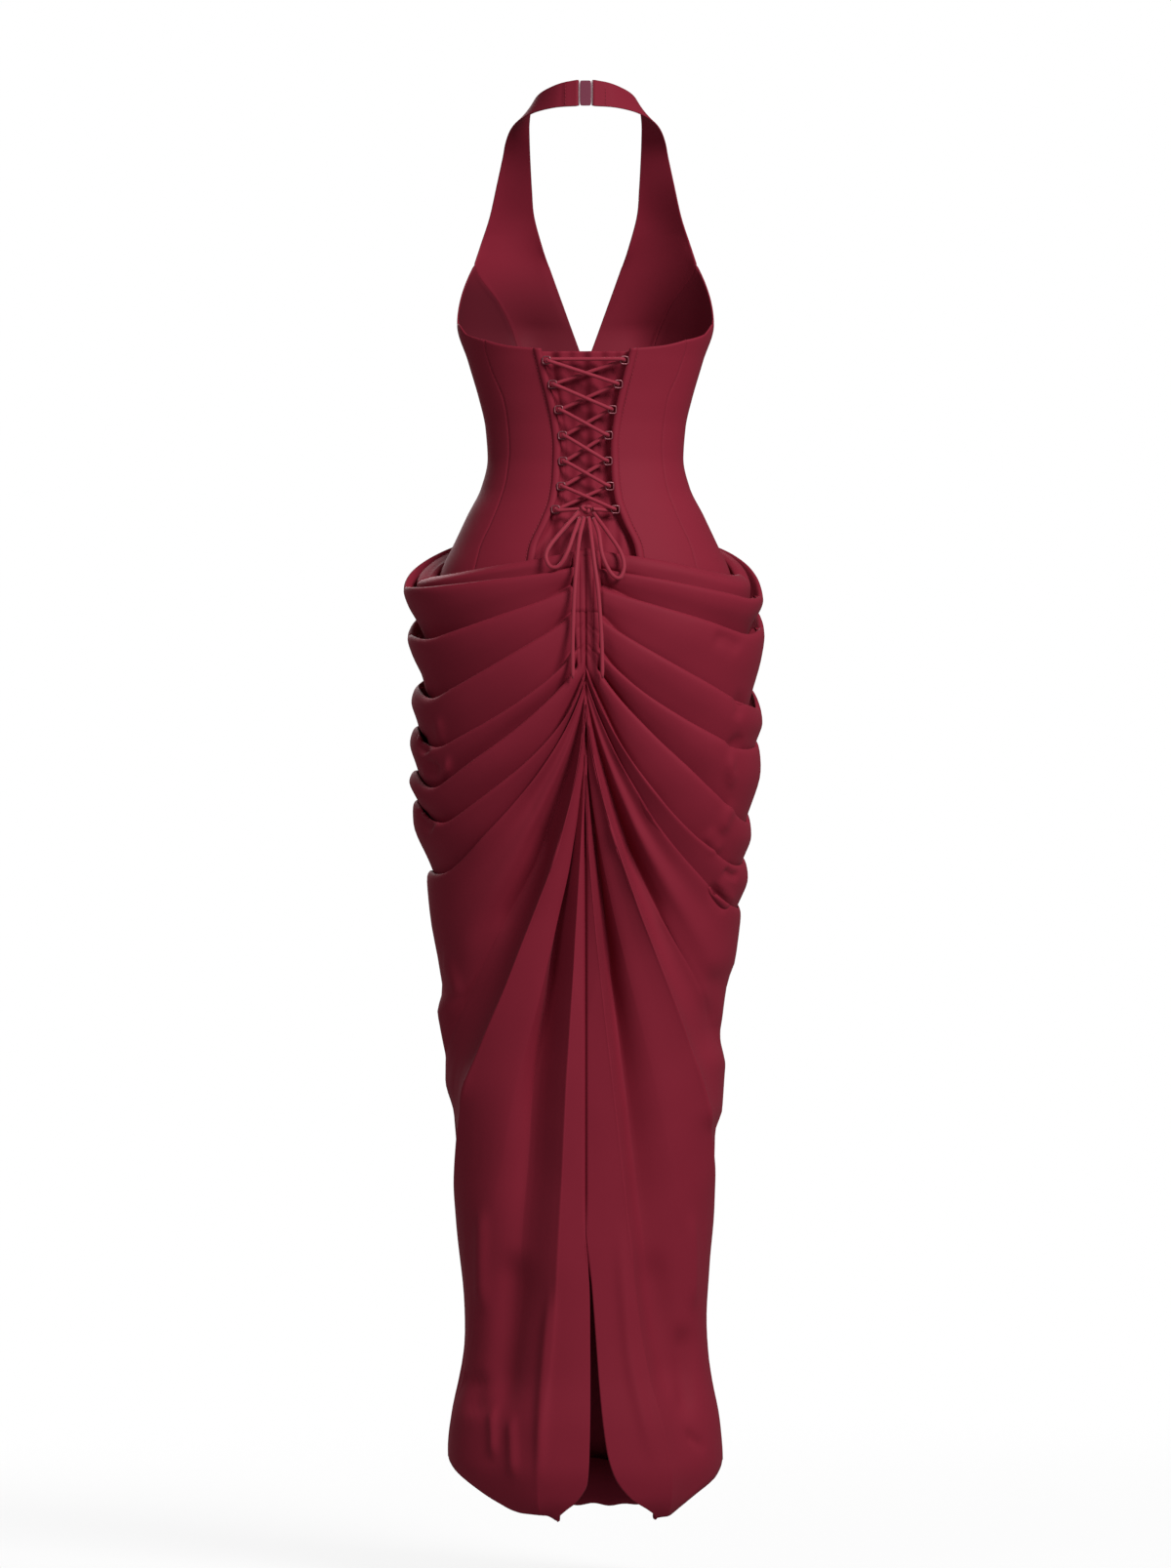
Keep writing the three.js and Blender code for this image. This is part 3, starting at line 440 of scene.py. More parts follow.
def seam_panel(turn_left, turn_right, z, dip_left=True, dip_right=True):
    """Cloth on the body form between two seams, given as angles at each height."""
    turn = mix(turn_left, turn_right, ACROSS)
    wide = read(BODY, "wide", z)
    from_left = np.abs(turn - turn_left) * wide
    from_right = np.abs(turn - turn_right) * wide
    flat = body_point(turn, z)
    off = ripple(flat, UNEVEN)
    near = np.minimum(from_left if dip_left else FAR, from_right if dip_right else FAR)
    inner = body_point(turn, z, off - CLOTH - allowance(near))
    off = off + (dip(from_left) if dip_left else 0) + (dip(from_right) if dip_right else 0)
    return body_point(turn, z, off), inner


def back_grid():
    top = read(BACK_TOP, "z", mix(48, 108, ACROSS))
    z = mix(BOTTOM, top, UP)
    left = back_turn(read(BACK_SEAMS, "opening", z), z)
    right = back_turn(read(BACK_SEAMS, "side_back", z) - HALF_SEAM, z)
    return seam_panel(left, right, z, dip_left=False)


def side_back_grid():
    top = read(BACK_TOP, "z", mix(108, 138.6, np.sin(ACROSS * math.pi / 2)))
    z = mix(BOTTOM, top, UP)
    left = back_turn(read(BACK_SEAMS, "side_back", z) + HALF_SEAM, z)
    return seam_panel(left, math.pi / 2 - 0.001, z)


def side_front_grid():
    side_z = mix(BOTTOM, SIDE_TOP_Z, UP)
    seam_z = mix(BOTTOM, ARMHOLE_Z, UP)
    z = mix(side_z, seam_z, ACROSS)
    right = front_turn(read(PRINCESS, "x", seam_z) + HALF_SEAM, seam_z)
    return seam_panel(math.pi / 2 + 0.001, right, z)


cloths = {}


def add_cloth(node, grid, inner=None, thick=CLOTH):
    """The shell that stands for a node, and the area of its face."""
    piece = wall(node.replace("_panel", "") + "_cloth", grid, thick, inner)
    cloths[node] = (piece, area_of(grid))
    print(node, grid.shape, round(cloths[node][1], 4), "square metres")


def add_pair(name, outer, inner):
    """The right piece and its mirror image."""
    for side, sign in reversed(SIDES):
        add_cloth(f"{name}_{side}", outer * (sign, 1, 1), inner * (sign, 1, 1))


add_pair("back", *back_grid())
add_pair("side_back", *side_back_grid())
add_pair("side_front", *side_front_grid())

# %% [markdown]
# ## The halter
# The front panel runs up over the bust and grows into a band round the neck. Below the armhole
# it lies on the body form. Above, it is ruled between two edges that stand free in the air, so
# each edge is a smooth curve through a few measured places. Where the band's end is folded back
# at the clasp, it is twice as thick.

# %% Halter panels
FOLD_BACK = {"to": 23.0, "high": 1.1, "behind": 20}
LOW_ROWS, STEPS = 80, 10
CROWN_FADES = 4
BLEND_ROWS, BLENDS = 13, 40
HALTER_ACROSS = spread(31, 0.5)[None, :]


def halter_rows(v):
    """Both edges of the panel's lower part at shares v of its height."""
    opened = np.maximum(0, (v - V_NECK["share"]) / (1 - V_NECK["share"]))
    closed = np.minimum(1, v / V_NECK["share"])
    in_x = mix(HALF_SEAM, V_NECK["top_x"], opened)
    low_z = mix(BOTTOM, V_NECK["z"], closed)
    in_z = np.where(opened > 0, mix(V_NECK["z"], V_NECK["top_z"], opened), low_z)
    out_z = mix(BOTTOM, ARMHOLE_Z, v)
    return in_x, in_z, read(PRINCESS, "x", out_z) - HALF_SEAM, out_z


def on_form(v, u, off=0.0):
    in_x, in_z, out_x, out_z = halter_rows(v)
    z = mix(in_z, out_z, u)
    return body_point(front_turn(mix(in_x, out_x, u), z), z, off)


def halter_grid():
    u = HALTER_ACROSS
    v = spread(LOW_ROWS)[:, None]
    in_x, in_z, out_x, out_z = halter_rows(v)
    from_seam = (1 - u) * (out_x - in_x)
    from_middle = np.where(v < V_NECK["share"], u * (out_x - in_x), FAR)
    low = on_form(v, u, dip(from_seam) + dip(from_middle) + ripple(on_form(v, u), 0.3))
    near = np.minimum(from_seam, from_middle)
    low_inner = on_form(v, u, -CLOTH - allowance(near))
    rows = np.array(HALTER, float)
    neck_start = [on_form(k, 0.0) for k in (0.93, 1.0)]
    corner = on_form(1.0, 1.0)
    arm_start = [2 * corner - rows[0, 3:], corner]
    starts = ((neck_start, rows[:, :3]), (arm_start, rows[:, 3:]))
    inner_edge, outer_edge = (
        through(np.concatenate(parts), STEPS)[STEPS + 1:, None, :] for parts in starts)
    t = np.arange(1, len(inner_edge) + 1)[:, None] / STEPS
    middle = on_form(1.0, np.array([0.0, 0.5, 1.0]))[:, 1]
    crown = (middle[1] - (middle[0] + middle[2]) / 2) * (1 - smooth(t / CROWN_FADES))
    high = mix(inner_edge, outer_edge, u[..., None])
    high[..., 1] += crown * 4 * u * (1 - u)
    normal = grid_normals(np.concatenate([low, high]))[0]
    folded = smooth((FOLD_BACK["to"] - high[..., 0]) / 0.8) * FOLD_BACK["high"]
    folded = folded * (high[..., 1] < FOLD_BACK["behind"])
    high_inner = high - normal[len(low):] * CLOTH
    high = high + normal[len(low):] * folded[..., None]
    return [blend_rows(np.concatenate(parts)) for parts in ((low, high), (low_inner, high_inner))]


def blend_rows(grid):
    """Smooths the bend where the upper part leaves the body form, away from the edges."""
    inner = smooth(np.minimum(HALTER_ACROSS[0], 1 - HALTER_ACROSS[0]) * 7)[:, None]
    part = grid[LOW_ROWS - BLEND_ROWS - 1:LOW_ROWS + BLEND_ROWS + 1]
    for _ in range(BLENDS):
        softer = (part[:-2] + 2 * part[1:-1] + part[2:]) / 4
        part[1:-1] = mix(part[1:-1], softer, inner)
    return grid


add_pair("halter_front", *halter_grid())


def places_of(piece):
    """The vertices of a piece, in millimetres."""
    places = np.empty(len(piece.data.vertices) * 3)
    piece.data.vertices.foreach_get("co", places)
    return places.reshape(-1, 3) / MM


def paint_cup_shade(piece, top, most):
    """Painted shade on the inner face of the bust's hollow: a darker colour, strongest below,
    that ends softly at its top."""
    inner = np.arange(len(piece.data.vertices)) // piece["grid_points"] == 1
    amount = smooth((top - places_of(piece)[:, 2]) / CUP_SHADE_FADES) * most * inner
    cup_shade = piece.data.attributes.new("cup_shade", "FLOAT", "POINT")
    cup_shade.data.foreach_set("value", amount.astype(np.float32))


# The lamp reaches into the left cup, so its inner face takes the stronger painted shade.
CUP_SHADE_FADES = 70
CUP_SHADE_TOP = {"halter_front": (-165, 0.48), "side_front": (-145, 0.76)}
for side, share in (("left", 1.25), ("right", 0.5)):
    for name, (top, most) in CUP_SHADE_TOP.items():
        paint_cup_shade(cloths[f"{name}_{side}"][0], top, most * share)

# %% [markdown]
# ## The laced opening
# Down each edge of the opening runs a bone in a stitched channel, which is a low tunnel on the
# panel. Behind the opening lies a modesty panel whose cloth is pulled into upright creases.

# %% Casings and modesty panel
CASING_WIDTH = 8.0
CASING_HIGH = 2.2
CASING_FROM = 0.19
SUNK = 7.5


def casing_grid():
    """A strip beside the opening. Its height over the panel is one less a power of the distance
    from its middle, which makes a broad low tunnel."""
    v = spread(ROWS)[:, None] * (1 - CASING_FROM) + CASING_FROM
    u = spread(15, 0.4)[None, :]
    z = mix(BOTTOM, read(BACK_TOP, "z", 48 + 3 * u), v)
    x = read(BACK_SEAMS, "opening", z) + CASING_WIDTH * u
    tunnel = 0.25 + CASING_HIGH * (1 - np.abs(2 * u - 1) ** 2.6)
    return on_back(x, z, tunnel), on_back(x, z, 0.15 + 0 * u)


def modesty_grid():
    """The panel sinks between the casings. Its creases are cosines whose phase drifts with the
    height, so that they wander and cross."""
    z = np.linspace(-542, -277, 120)[:, None]
    u = np.linspace(-1, 1, 90)[None, :]
    opening = read(BACK_SEAMS, "opening", z)
    x = u * (opening + 9)
    sunk = SUNK * smooth((opening + 3 - np.abs(x)) / 9)
    inside = smooth((opening - np.abs(x)) / 9)
    first = np.cos(x * 0.36 + 0.7 * np.sin(z * 0.021) + 0.3)
    second = np.cos(x * 0.21 - 0.9 * np.sin(z * 0.034 + 1) + 1.1)
    pulled = np.abs(np.sin((z + 12) * math.pi / 27)) * np.cos(x * 0.15 + z * 0.05)
    crease = (1.3 * first + 1.1 * second + 0.5 * pulled) * inside
    points = body_point(back_turn(x, z), z, -CLOTH - 0.9)
    points[..., 1] += sunk + crease
    return points


add_pair("casing", *casing_grid())
add_cloth("modesty_panel", modesty_grid(), thick=1.2)

# %% [markdown]
# ## Stitches
# A run of stitches is one mesh of short threads along a path. Each thread is a tube of six sides
# that is thinner at both ends, where it goes into the cloth.

# %% Stitches
THREAD = {"long": 2.6, "gap": 1.2, "thick": 0.5, "off": 0.35}
BAND_STITCHES_X = 21.5


def stitches(name, path):
    length, find = by_length(path)
    first = np.arange(1, length - THREAD["long"], THREAD["long"] + THREAD["gap"])
    spots = find(first[:, None] + THREAD["long"] * np.array([0, 0.2, 0.8, 1]))
    ring = around(unit(spots[:, -1] - spots[:, 0])[:, None], (0, 1, 0), 6)
    radius = THREAD["thick"] / 2 * np.array([0.3, 1, 1, 0.3])[:, None, None]
    points = spots[:, :, None] + ring * radius
    ids = np.arange(points.size // 3).reshape(len(first), 4, 6)
    faces = [*joined(ids[:, :-1], ids[:, 1:]), *ids[:, 0], *ids[:, -1, ::-1]]
    return add_mesh(name, points.reshape(-1, 3), faces)


def casing_line(sign):
    """Just outside the casing, down its whole length."""
    z = np.linspace(mix(BOTTOM, -272, CASING_FROM), -276, 90)
    return on_back(sign * (read(BACK_SEAMS, "opening", z) + CASING_WIDTH + 0.9), z, THREAD["off"])


def band_line(sign, side):
    """Up the band where its end is folded back, on the outermost of the cloth's points there."""
    co = places_of(cloths[f"halter_front_{side}"][0])
    near = co[(np.abs(np.abs(co[:, 0]) - BAND_STITCHES_X) < 1.6) & (co[:, 1] < 12)]
    low, top = near[:, 2].min(), near[:, 2].max()
    z = low + (top - low) * np.linspace(0.06, 0.94, 20)
    y = np.array([near[np.abs(near[:, 2] - h) < 3.5][:, 1].min() for h in z])
    return np.stack([np.full(20, sign * BAND_STITCHES_X), y - 0.1, z], -1)


threads = [stitches(f"band_stitches_{side}", band_line(sign, side)) for side, sign in SIDES]
threads += [stitches(f"casing_stitches_outer_{side}", casing_line(sign)) for side, sign in SIDES]
print("runs of stitches:", len(threads))

# %% [markdown]
# ## Rings and lace
# Seven pairs of square wire rings carry the lace. Each ring is a tube along a superellipse. The
# lace goes up through every ring in crossing strokes, straight across at the top and down again.
# At a ring it makes a half turn round the ring's inner bar.

# %% Rings
WIRE = 1.4
RING = 9.4
RING_OFF = 3.2
RING_ROWS = (-286.6, -312, -339, -366.5, -394, -421, -446)


def ring_x(z):
    return read(BACK_SEAMS, "opening", z) + 1 - RING / 2


def ring_path(side, z):
    """A closed superellipse of power 4 in the plane of the bodice's back."""
    turn = np.linspace(0, 2 * math.pi, 40, endpoint=False)
    cosine, sine = np.cos(turn), np.sin(turn)
    half = (RING - WIRE) / 2
    across = half * np.sign(cosine) * np.abs(cosine) ** 0.5
    up = half * np.sign(sine) * np.abs(sine) ** 0.5
    x = side * ring_x(z) + across
    return on_back(x, z + 0 * x, RING_OFF) + UPWARDS * up[:, None]


rings = {}
for number, z in enumerate(RING_ROWS, 1):
    for side, sign in SIDES:
        ring = tube(f"ring_{side}_{number}", ring_path(sign, z), WIRE / 2, (0, 1, 0), closed=True)
        rings[f"loop_{side}_{number}"] = ring
print("rings:", len(rings))

# %% The threaded lace and its knot
LACE_STEP = 0.8


def bend(side, z, way):
    """Half a turn round the ring's inner bar, from below the ring to above it or back."""
    turn = np.linspace(-1, 1, 9) * way * math.pi / 2
    radius = WIRE * math.sqrt(0.5) + 0.3 + LACE / 2
    x = ring_x(z) - RING / 2 + WIRE / 2 + radius * np.cos(turn)
    return on_back(side * x, z + 1.2 * np.sin(turn), RING_OFF + side * radius * np.sin(turn))


def lace_path():
    """From the knot up through the rings and down again, in even steps and softened a little."""
    last = len(RING_ROWS) - 1
    knot_side = KNOT["wide"] / 2 + 0.5
    parts = [on_back([KNOT["x"] + knot_side], KNOT["z"], KNOT["off"] - 1.0)]
    for k in range(last, -1, -1):
        parts.append(bend(1 if (last - k) % 2 == 0 else -1, RING_ROWS[k], 1))
    for k in range(last + 1):
        parts.append(bend(-1 if k % 2 == 0 else 1, RING_ROWS[k], -1))
    parts.append(on_back([KNOT["x"] - knot_side], KNOT["z"], KNOT["off"] - 1.0))
    length, find = by_length(np.concatenate(parts))
    even = find(np.arange(0, length, LACE_STEP))
    for _ in range(4):
        even[1:-1] = (even[:-2] + 2 * even[1:-1] + even[2:]) / 4
    return even


lace_line = lace_path()
lace = tube("lace_cord", lace_line, LACE / 2, (0, 0, 1), sides=10)
t = np.linspace(0, 2 * math.pi, 90, endpoint=False)
trefoil = np.stack([
    (np.sin(t) + 2 * np.sin(2 * t)) / 3 * (KNOT["wide"] / 2 - 1.7),
    np.sin(3 * t) * (KNOT["thick"] / 2 - 2.2),
    (np.cos(t) - 2 * np.cos(2 * t)) / 3 * (KNOT["tall"] / 2 - 1.7),
], -1)
knot_place = on_back([KNOT["x"]], KNOT["z"], float(KNOT["off"]))
knot = tube("lace_knot_cord", trefoil + knot_place, 1.9, (0, 1, 0), closed=True)
print("lace of", round(path_length(lace_line), 3), "m")

# %% [markdown]
# ## The neck clasp
# A covered plate sits between two thin bars. All three are superellipsoids: blocks whose edges
# are rounded by a small power of the sine and cosine.

# %% Clasp
CLASP = {"tall": 27, "plate_wide": 12.4, "bar_wide": 1.5, "thick": 1.6, "gap": 0.1}


def block(name, centre, size, power):
    """A superellipsoid: each coordinate is a cosine or sine raised to a small power."""
    lift = np.linspace(-math.pi / 2, math.pi / 2, 25)[1:-1, None]
    turn = np.linspace(0, 2 * math.pi, 48, endpoint=False)[None, :]

    def soft(v):
        return np.sign(v) * np.abs(v) ** power

    grid = np.stack(np.broadcast_arrays(
        soft(np.cos(lift)) * soft(np.cos(turn)), soft(np.sin(lift)),
        soft(np.cos(lift)) * soft(np.sin(turn))), -1)
    ids = np.arange(grid[..., 0].size).reshape(grid.shape[:2])
    ahead = np.roll(ids, -1, 1)
    low, high = ids.size + 0 * ids[0], ids.size + 1 + 0 * ids[0]
    faces = [*joined(ids[:-1], ids[1:]), *np.stack([ids[0], ahead[0], low], -1),
             *np.stack([ahead[-1], ids[-1], high], -1)]
    poles = np.array([[0, -1, 0], [0, 1, 0]])
    points = np.concatenate([grid.reshape(-1, 3), poles]) * np.array(size) / 2 + np.array(centre)
    return add_mesh(name, points, faces)


middle_y = -CLASP["thick"] / 2
plate_size = (CLASP["plate_wide"], CLASP["thick"] + 0.4, CLASP["tall"])
plate = block("clasp_plate_cover", (0, middle_y, 0), plate_size, 0.25)
bar_x = CLASP["plate_wide"] / 2 + CLASP["gap"] + CLASP["bar_wide"] / 2
bar_size = (CLASP["bar_wide"], CLASP["thick"] + 0.8, CLASP["tall"])
bars = {
    f"clasp_bar_{side}": block(f"clasp_bar_{side}_rod", (sign * bar_x, middle_y, 0), bar_size, 0.5)
    for side, sign in SIDES
}
print("clasp of", CLASP["tall"], "mm")

# %% [markdown]
# ## The skirt's folds
# The back of the skirt is gathered into the centre seam. From there every fold runs down and out
# to the side, or to the hem. A fold is a line: a quadratic bend in angle and height from its
# start on the seam, through a place part way, to its end. A lip is a fold whose top edge rolls
# over and hides a pocket. The others are round crests and hollows, and a sharp one has a crease.

# %% Folds
SHARP_LIPS = 3
LOWEST = 0.71
POCKET = {"from": 0.09, "over": 0.5}
FOLD_COLUMNS = "start across height end rise deep lift hem slope".split()
PLAIN = (0, 0, None, 0.0)


def folds_of(*rows):
    """A dictionary for each row. Rows may leave out their last columns: such a fold has no
    pocket and no lift, ends at the side and has a round crest."""
    return [dict(zip(FOLD_COLUMNS, (*row, *PLAIN[len(row) - 5:]))) for row in rows]


LEFT_FOLDS = folds_of(
    (-489, 103, -504, -518, (4, 5, 5), 8, 2),
    (-505, 103, -522, -531, (5, 8, 9), 34, 4),
    (-524, 103, -561, -592, (3, 8, 11), 20, 14),
    (-550, 100, -609, -662, (3, 9, 11), 18, 28),
    (-580, 89, -660, -715, (3, 9, 10), 16, 38),
    (-602, 94, -690, -762, (3, 9, 10), 14, 38),
    (-616, 82, -728, -800, (3, 10, 10), 12, 44),
    (-628, 92, -775, -850, (2, 8, 10), 10, 18),
    (-640, 78, -850, -1030, (0, -28, -7)),
    (-652, 65, -915, -1195, (3, 15, 6), 0, 0, None, 2.0),
    (-668, 55, -985, -1462, (0, -4, 0), 0, 0, None, 1.0),
    (-686, 63, -1050, -1506, (-2, -25, -4), 0, 0, 104),
    (-708, 20, -1060, -1524, (2, 9, 4), 0, 0, 46, 1.3),
    (-735, 0, -1110, -1522, (0, 5, 1), 0, 0, 29, 0.6),
)
RIGHT_FOLDS = folds_of(
    (-488, 118, -504, -519, (4, 6, 6), 8, 6),
    (-507, 118, -527, -545, (5, 8, 9), 26, 8),
    (-526, 118, -560, -585, (3, 8, 10), 18, 14),
    (-550, 95, -607, -663, (3, 9, 10), 18, 6),
    (-577, 95, -661, -712, (3, 9, 10), 16, 14),
    (-600, 105, -714, -788, (3, 9, 10), 15, 8),
    (-615, 95, -775, -836, (3, 9, 9), 12, 12),
    (-627, 92, -800, -880, (1, 4, 9), 10, 8),
    (-640, 80, -860, -1030, (0, -22, -5)),
    (-652, 70, -918, -1205, (3, 13, 5), 0, 0, None, 2.0),
    (-668, 58, -985, -1464, (0, -4, 0), 0, 0, None, 1.0),
    (-686, 47, -1050, -1506, (-2, -24, -5), 0, 0, 117),
    (-708, 26, -1040, -1523, (2, 9, 4), 0, 0, 84, 1.6),
    (-735, 0, -1110, -1530, (0, 5, 1), 0, 0, 72, 0.6),
)
FRONT_CLIMB = (56, 78, 74, 62, 50, 40, 30, 20, 0, -10, -58)
SLIT = {
    "left": table("z x", (-735, 0.12), (-1208, 0.12), (-1255, -3), (-1301, -4.2), (-1395, -4.6),
                  (-1453, -3.6), (-1482, -1.5), (-1500, 8), (-1522, 29)),
    "right": table("z x", (-735, 0.12), (-1208, 0.12), (-1250, 5), (-1301, 9), (-1395, 16),
                   (-1453, 23), (-1482, 31), (-1505, 46), (-1531, 72)),
}
HEM = {
    "left": table("degrees z", (13, -1522), (18, -1516), (26, -1515), (33, -1514), (46, -1503),
                  (64, -1484), (78, -1471), (90, -1460)),
    "right": table("degrees z", (30, -1530), (36, -1520), (43, -1518), (50, -1510),
                   (61, -1497), (80, -1479), (90, -1464)),
}
LIP_PROFILE = (
    (0.0, 0.0, 0, 0.8, 0.3), (0.14, 0.1, 0, 1.25, 0.8), (0.42, 0.42, 0, 0.85, 1.05),
    (0.66, 0.82, 0.1, -0.15, 0.4), (0.8, 1.0, 1.0, -0.85, -0.3), (0.92, 1.0, 0.5, 0.1, 0.1),
)
LAST_LIP_PROFILE = (
    (0.0, 0.0, 0, 0.8, 0.3), (0.1, 0.06, 0, 1.15, 0.8), (0.35, 0.3, 0, 0.8, 0.9),
    (0.62, 0.62, 0, 0.2, 0.2), (0.8, 0.8, 0, 0.6, 0.5), (0.92, 0.92, 0, 0.88, 0.85),
)
SOFT_SHARES = (0, 0.07, 0.2, 0.4, 0.6, 0.8, 0.93)


def skirt_turn(x, z, side):
    return np.arcsin(np.clip(x / read(SKIRT, side, z), -1, 1))


def fold_line(line, side, s, slit=None):
    """Angle, height, rise and depth of a fold at shares s of its way. A lip is LOWEST part way,
    and its lift brings it up again to the side, where it turns round to the front."""
    last_turn = math.pi / 2 if line["hem"] is None else skirt_turn(line["hem"], line["end"], side)
    middle_turn = skirt_turn(line["across"], line["height"], side)
    control_turn = 2 * middle_turn - last_turn / 2
    control_z = 2 * line["height"] - (line["start"] + line["end"]) / 2
    turn = 2 * s * (1 - s) * control_turn + s * s * last_turn
    z = (1 - s) ** 2 * line["start"] + 2 * s * (1 - s) * control_z + s * s * line["end"]
    if line["deep"]:
        z = z + 2 * (line["end"] - control_z) * s ** 3 * (1 - s)
        z = z + line["lift"] * smooth((s - LOWEST) / (1 - LOWEST)) ** 1.25
    if slit is not None:
        turn = skirt_turn(read(slit, "x", z), z, side)
    rise = np.interp(s, (0, 0.5 if line["deep"] else 0.36, 1), line["rise"])
    deep = line["deep"] * smooth((s - POCKET["from"]) / POCKET["over"])
    return {"turn": turn, "z": z, "rise": rise, "deep": deep}


def fold_steps(folds):
    """Rows between neighbouring folds: which fold, how far down the layer when it lies flat and
    when it is full, how much of the next pocket is added, and how much of the rise stands out
    on the back and at the side."""
    steps = []
    for k in range(len(folds) - 1):
        if folds[k]["deep"]:
            profile = LIP_PROFILE if folds[k + 1]["deep"] else LAST_LIP_PROFILE
            steps += [(k, *row) for row in profile]
        else:
            steps += [(k, share, share, 0, None, None) for share in SOFT_SHARES]
    return steps + [(len(folds) - 2, 1, 1, 0, None, None)]


def between(share, first, last):
    """Cubic from 0 to 1 with the two slopes given: 2 leaves a sharp crest, 0 a round hollow."""
    bent = (first + last - 2) * share + 3 - 2 * first - last
    return (bent * share + first) * share


def folded_point(step, above, below, full, sign, slopes, side):
    k, flat, filled, drop, out, out_side = step
    share = mix(flat, filled, full)
    turn = mix(above["turn"], below["turn"], share)
    z = mix(above["z"], below["z"], share) - drop * below["deep"]
    if out is None:
        off = mix(above["rise"], below["rise"], between(share, *slopes))
    else:
        stands = mix(out, out_side, side if k >= SHARP_LIPS else 0 * side)
        off = stands * mix(above["rise"], below["rise"], share)
    outside = skirt_point(sign * turn, z, off)
    if k > 0:
        return outside
    return mix(body_point(sign * turn, z, 4.4 + np.maximum(off, 3)), outside, smooth(flat * 1.15))


def inner_rows(first, sign, off):
    """The inner wall of the drape, from the hidden seam up to the first lip."""
    shares = (0, 0.3, 0.6, 0.93)
    return [body_point(sign * first["turn"], mix(BOTTOM, first["z"], k), off + k) for k in shares]


# %% [markdown]
# ## Listed creases
# Between the main folds the cloth has smaller ones. Each is a soft ridge or trough along a short
# path, given by its places across and in height, its half width and its height. It fades out at
# both ends.

# %% Creases
def crease(points, path, wide, high):
    """A bell across the path times a smooth fade along it. The distance to the path is taken
    in the plane of the picture."""
    line = through(path, 8)
    start, step = line[:-1], np.diff(line, axis=0)
    flat = points[..., (0, 2)].reshape(-1, 1, 2)
    along = np.clip(((flat - start) * step).sum(-1) / (step ** 2).sum(-1), 0, 1)
    distance = np.linalg.norm(flat - start - along[..., None] * step, axis=-1)
    nearest = distance.argmin(1)
    rows = np.arange(len(nearest))
    share = (nearest + along[rows, nearest]) / len(step)
    fade = smooth(share * 4) * smooth((1 - share) * 4)
    return (high * bell(distance[rows, nearest], wide) * fade).reshape(points.shape[:-1])


def creased(points, creases):
    return sum(crease(points, np.array(path, float), wide, high) for path, wide, high in creases)


LEFT_CREASES = [
    ([(-176, -716), (-168, -729), (-156, -732), (-148, -722), (-147, -708)], 4, 4.5),
    ([(-174, -712), (-165, -722), (-156, -718)], 5, -6),
    ([(-173, -684), (-175, -697), (-168, -706)], 5, -5),
    ([(-178, -766), (-172, -780), (-162, -788)], 6, -5),
    ([(-170, -622), (-167, -644)], 4, 2.5),
    ([(-157, -668), (-155, -698)], 5, 3),
    ([(-153, -995), (-135, -968), (-115, -939), (-95, -903), (-80, -871)], 9, 3.5),
    ([(-150, -922), (-143, -945), (-134, -968)], 7, 3),
    ([(-150, -955), (-155, -1020), (-146, -1095)], 20, 8),
    ([(-35, -1270), (-44, -1365), (-51, -1491)], 6, 4),
    ([(-74, -1230), (-82, -1313), (-92, -1420)], 16, -8),
    ([(-115, -1365), (-118, -1417)], 12, -4),
    ([(-111, -1187), (-112, -1250), (-110, -1310)], 7, 4),
    ([(-100, -1400), (-98, -1460)], 5, 3.5),
    ([(-79, -1410), (-77, -1480)], 5, 3.5),
]
RIGHT_CREASES = [
    ([(127, -789), (136, -801), (143, -813)], 7, 3),
    ([(148, -829), (156, -836), (166, -837)], 4, -4),
    ([(141, -840), (150, -855), (161, -866)], 5, 2.5),
    ([(133, -844), (142, -861), (153, -874)], 5, -3.5),
    ([(168, -690), (160, -694), (150, -700)], 5, -3),
    ([(158, -760), (150, -775), (146, -792)], 6, 3),
    ([(135, -583), (152, -585), (168, -596)], 7, -3),
    ([(160, -643), (164, -656), (162, -670)], 5, -3),
    ([(157, -706), (154, -724), (160, -741)], 4.5, 3.5),
    ([(143, -991), (118, -948), (94, -903), (71, -856)], 9, 3.5),
    ([(148, -925), (144, -985), (143, -1042)], 20, -7),
    ([(144, -1000), (147, -1060), (142, -1115)], 20, 7),
    ([(36, -1197), (41, -1281), (48, -1354), (60, -1407), (76, -1475)], 7, 3),
    ([(68, -1230), (80, -1313), (92, -1400)], 17, -6),
    ([(113, -1192), (115, -1250), (114, -1307)], 6, 3.5),
    ([(104, -1313), (106, -1365), (108, -1422)], 10, -6),
    ([(105, -1430), (118, -1442), (128, -1449)], 4, -3),
]

# %% Skirt back
BACK_COLUMNS = spread(130, 0.25) ** 1.12
EACH = 4
TURN_UNDER = ((1.5, -1.5), (4.5, -0.5), (6.5, 4), (7.0, 14))
SEAM_UNDER = ((-0.6, 1.6), (0.8, 5.0), (4.0, 10.0))
SLIT_Z, SLIT_OVER = -1208, 60
SIDE_HEM_Z = -1440
SEWN = HALF_SEAM
PAST_CENTRE = -5.0


def hem_shift(step, above, below, side):
    """How far the end of a row lies from the curve of the hem."""
    if above["z"][-1] > HEM[side]["z"].max() + 1:
        return 0.0
    degrees = math.degrees(mix(above["turn"][-1], below["turn"][-1], step[1]))
    return float(read(HEM[side], "z", degrees)) - mix(above["z"][-1], below["z"][-1], step[1])


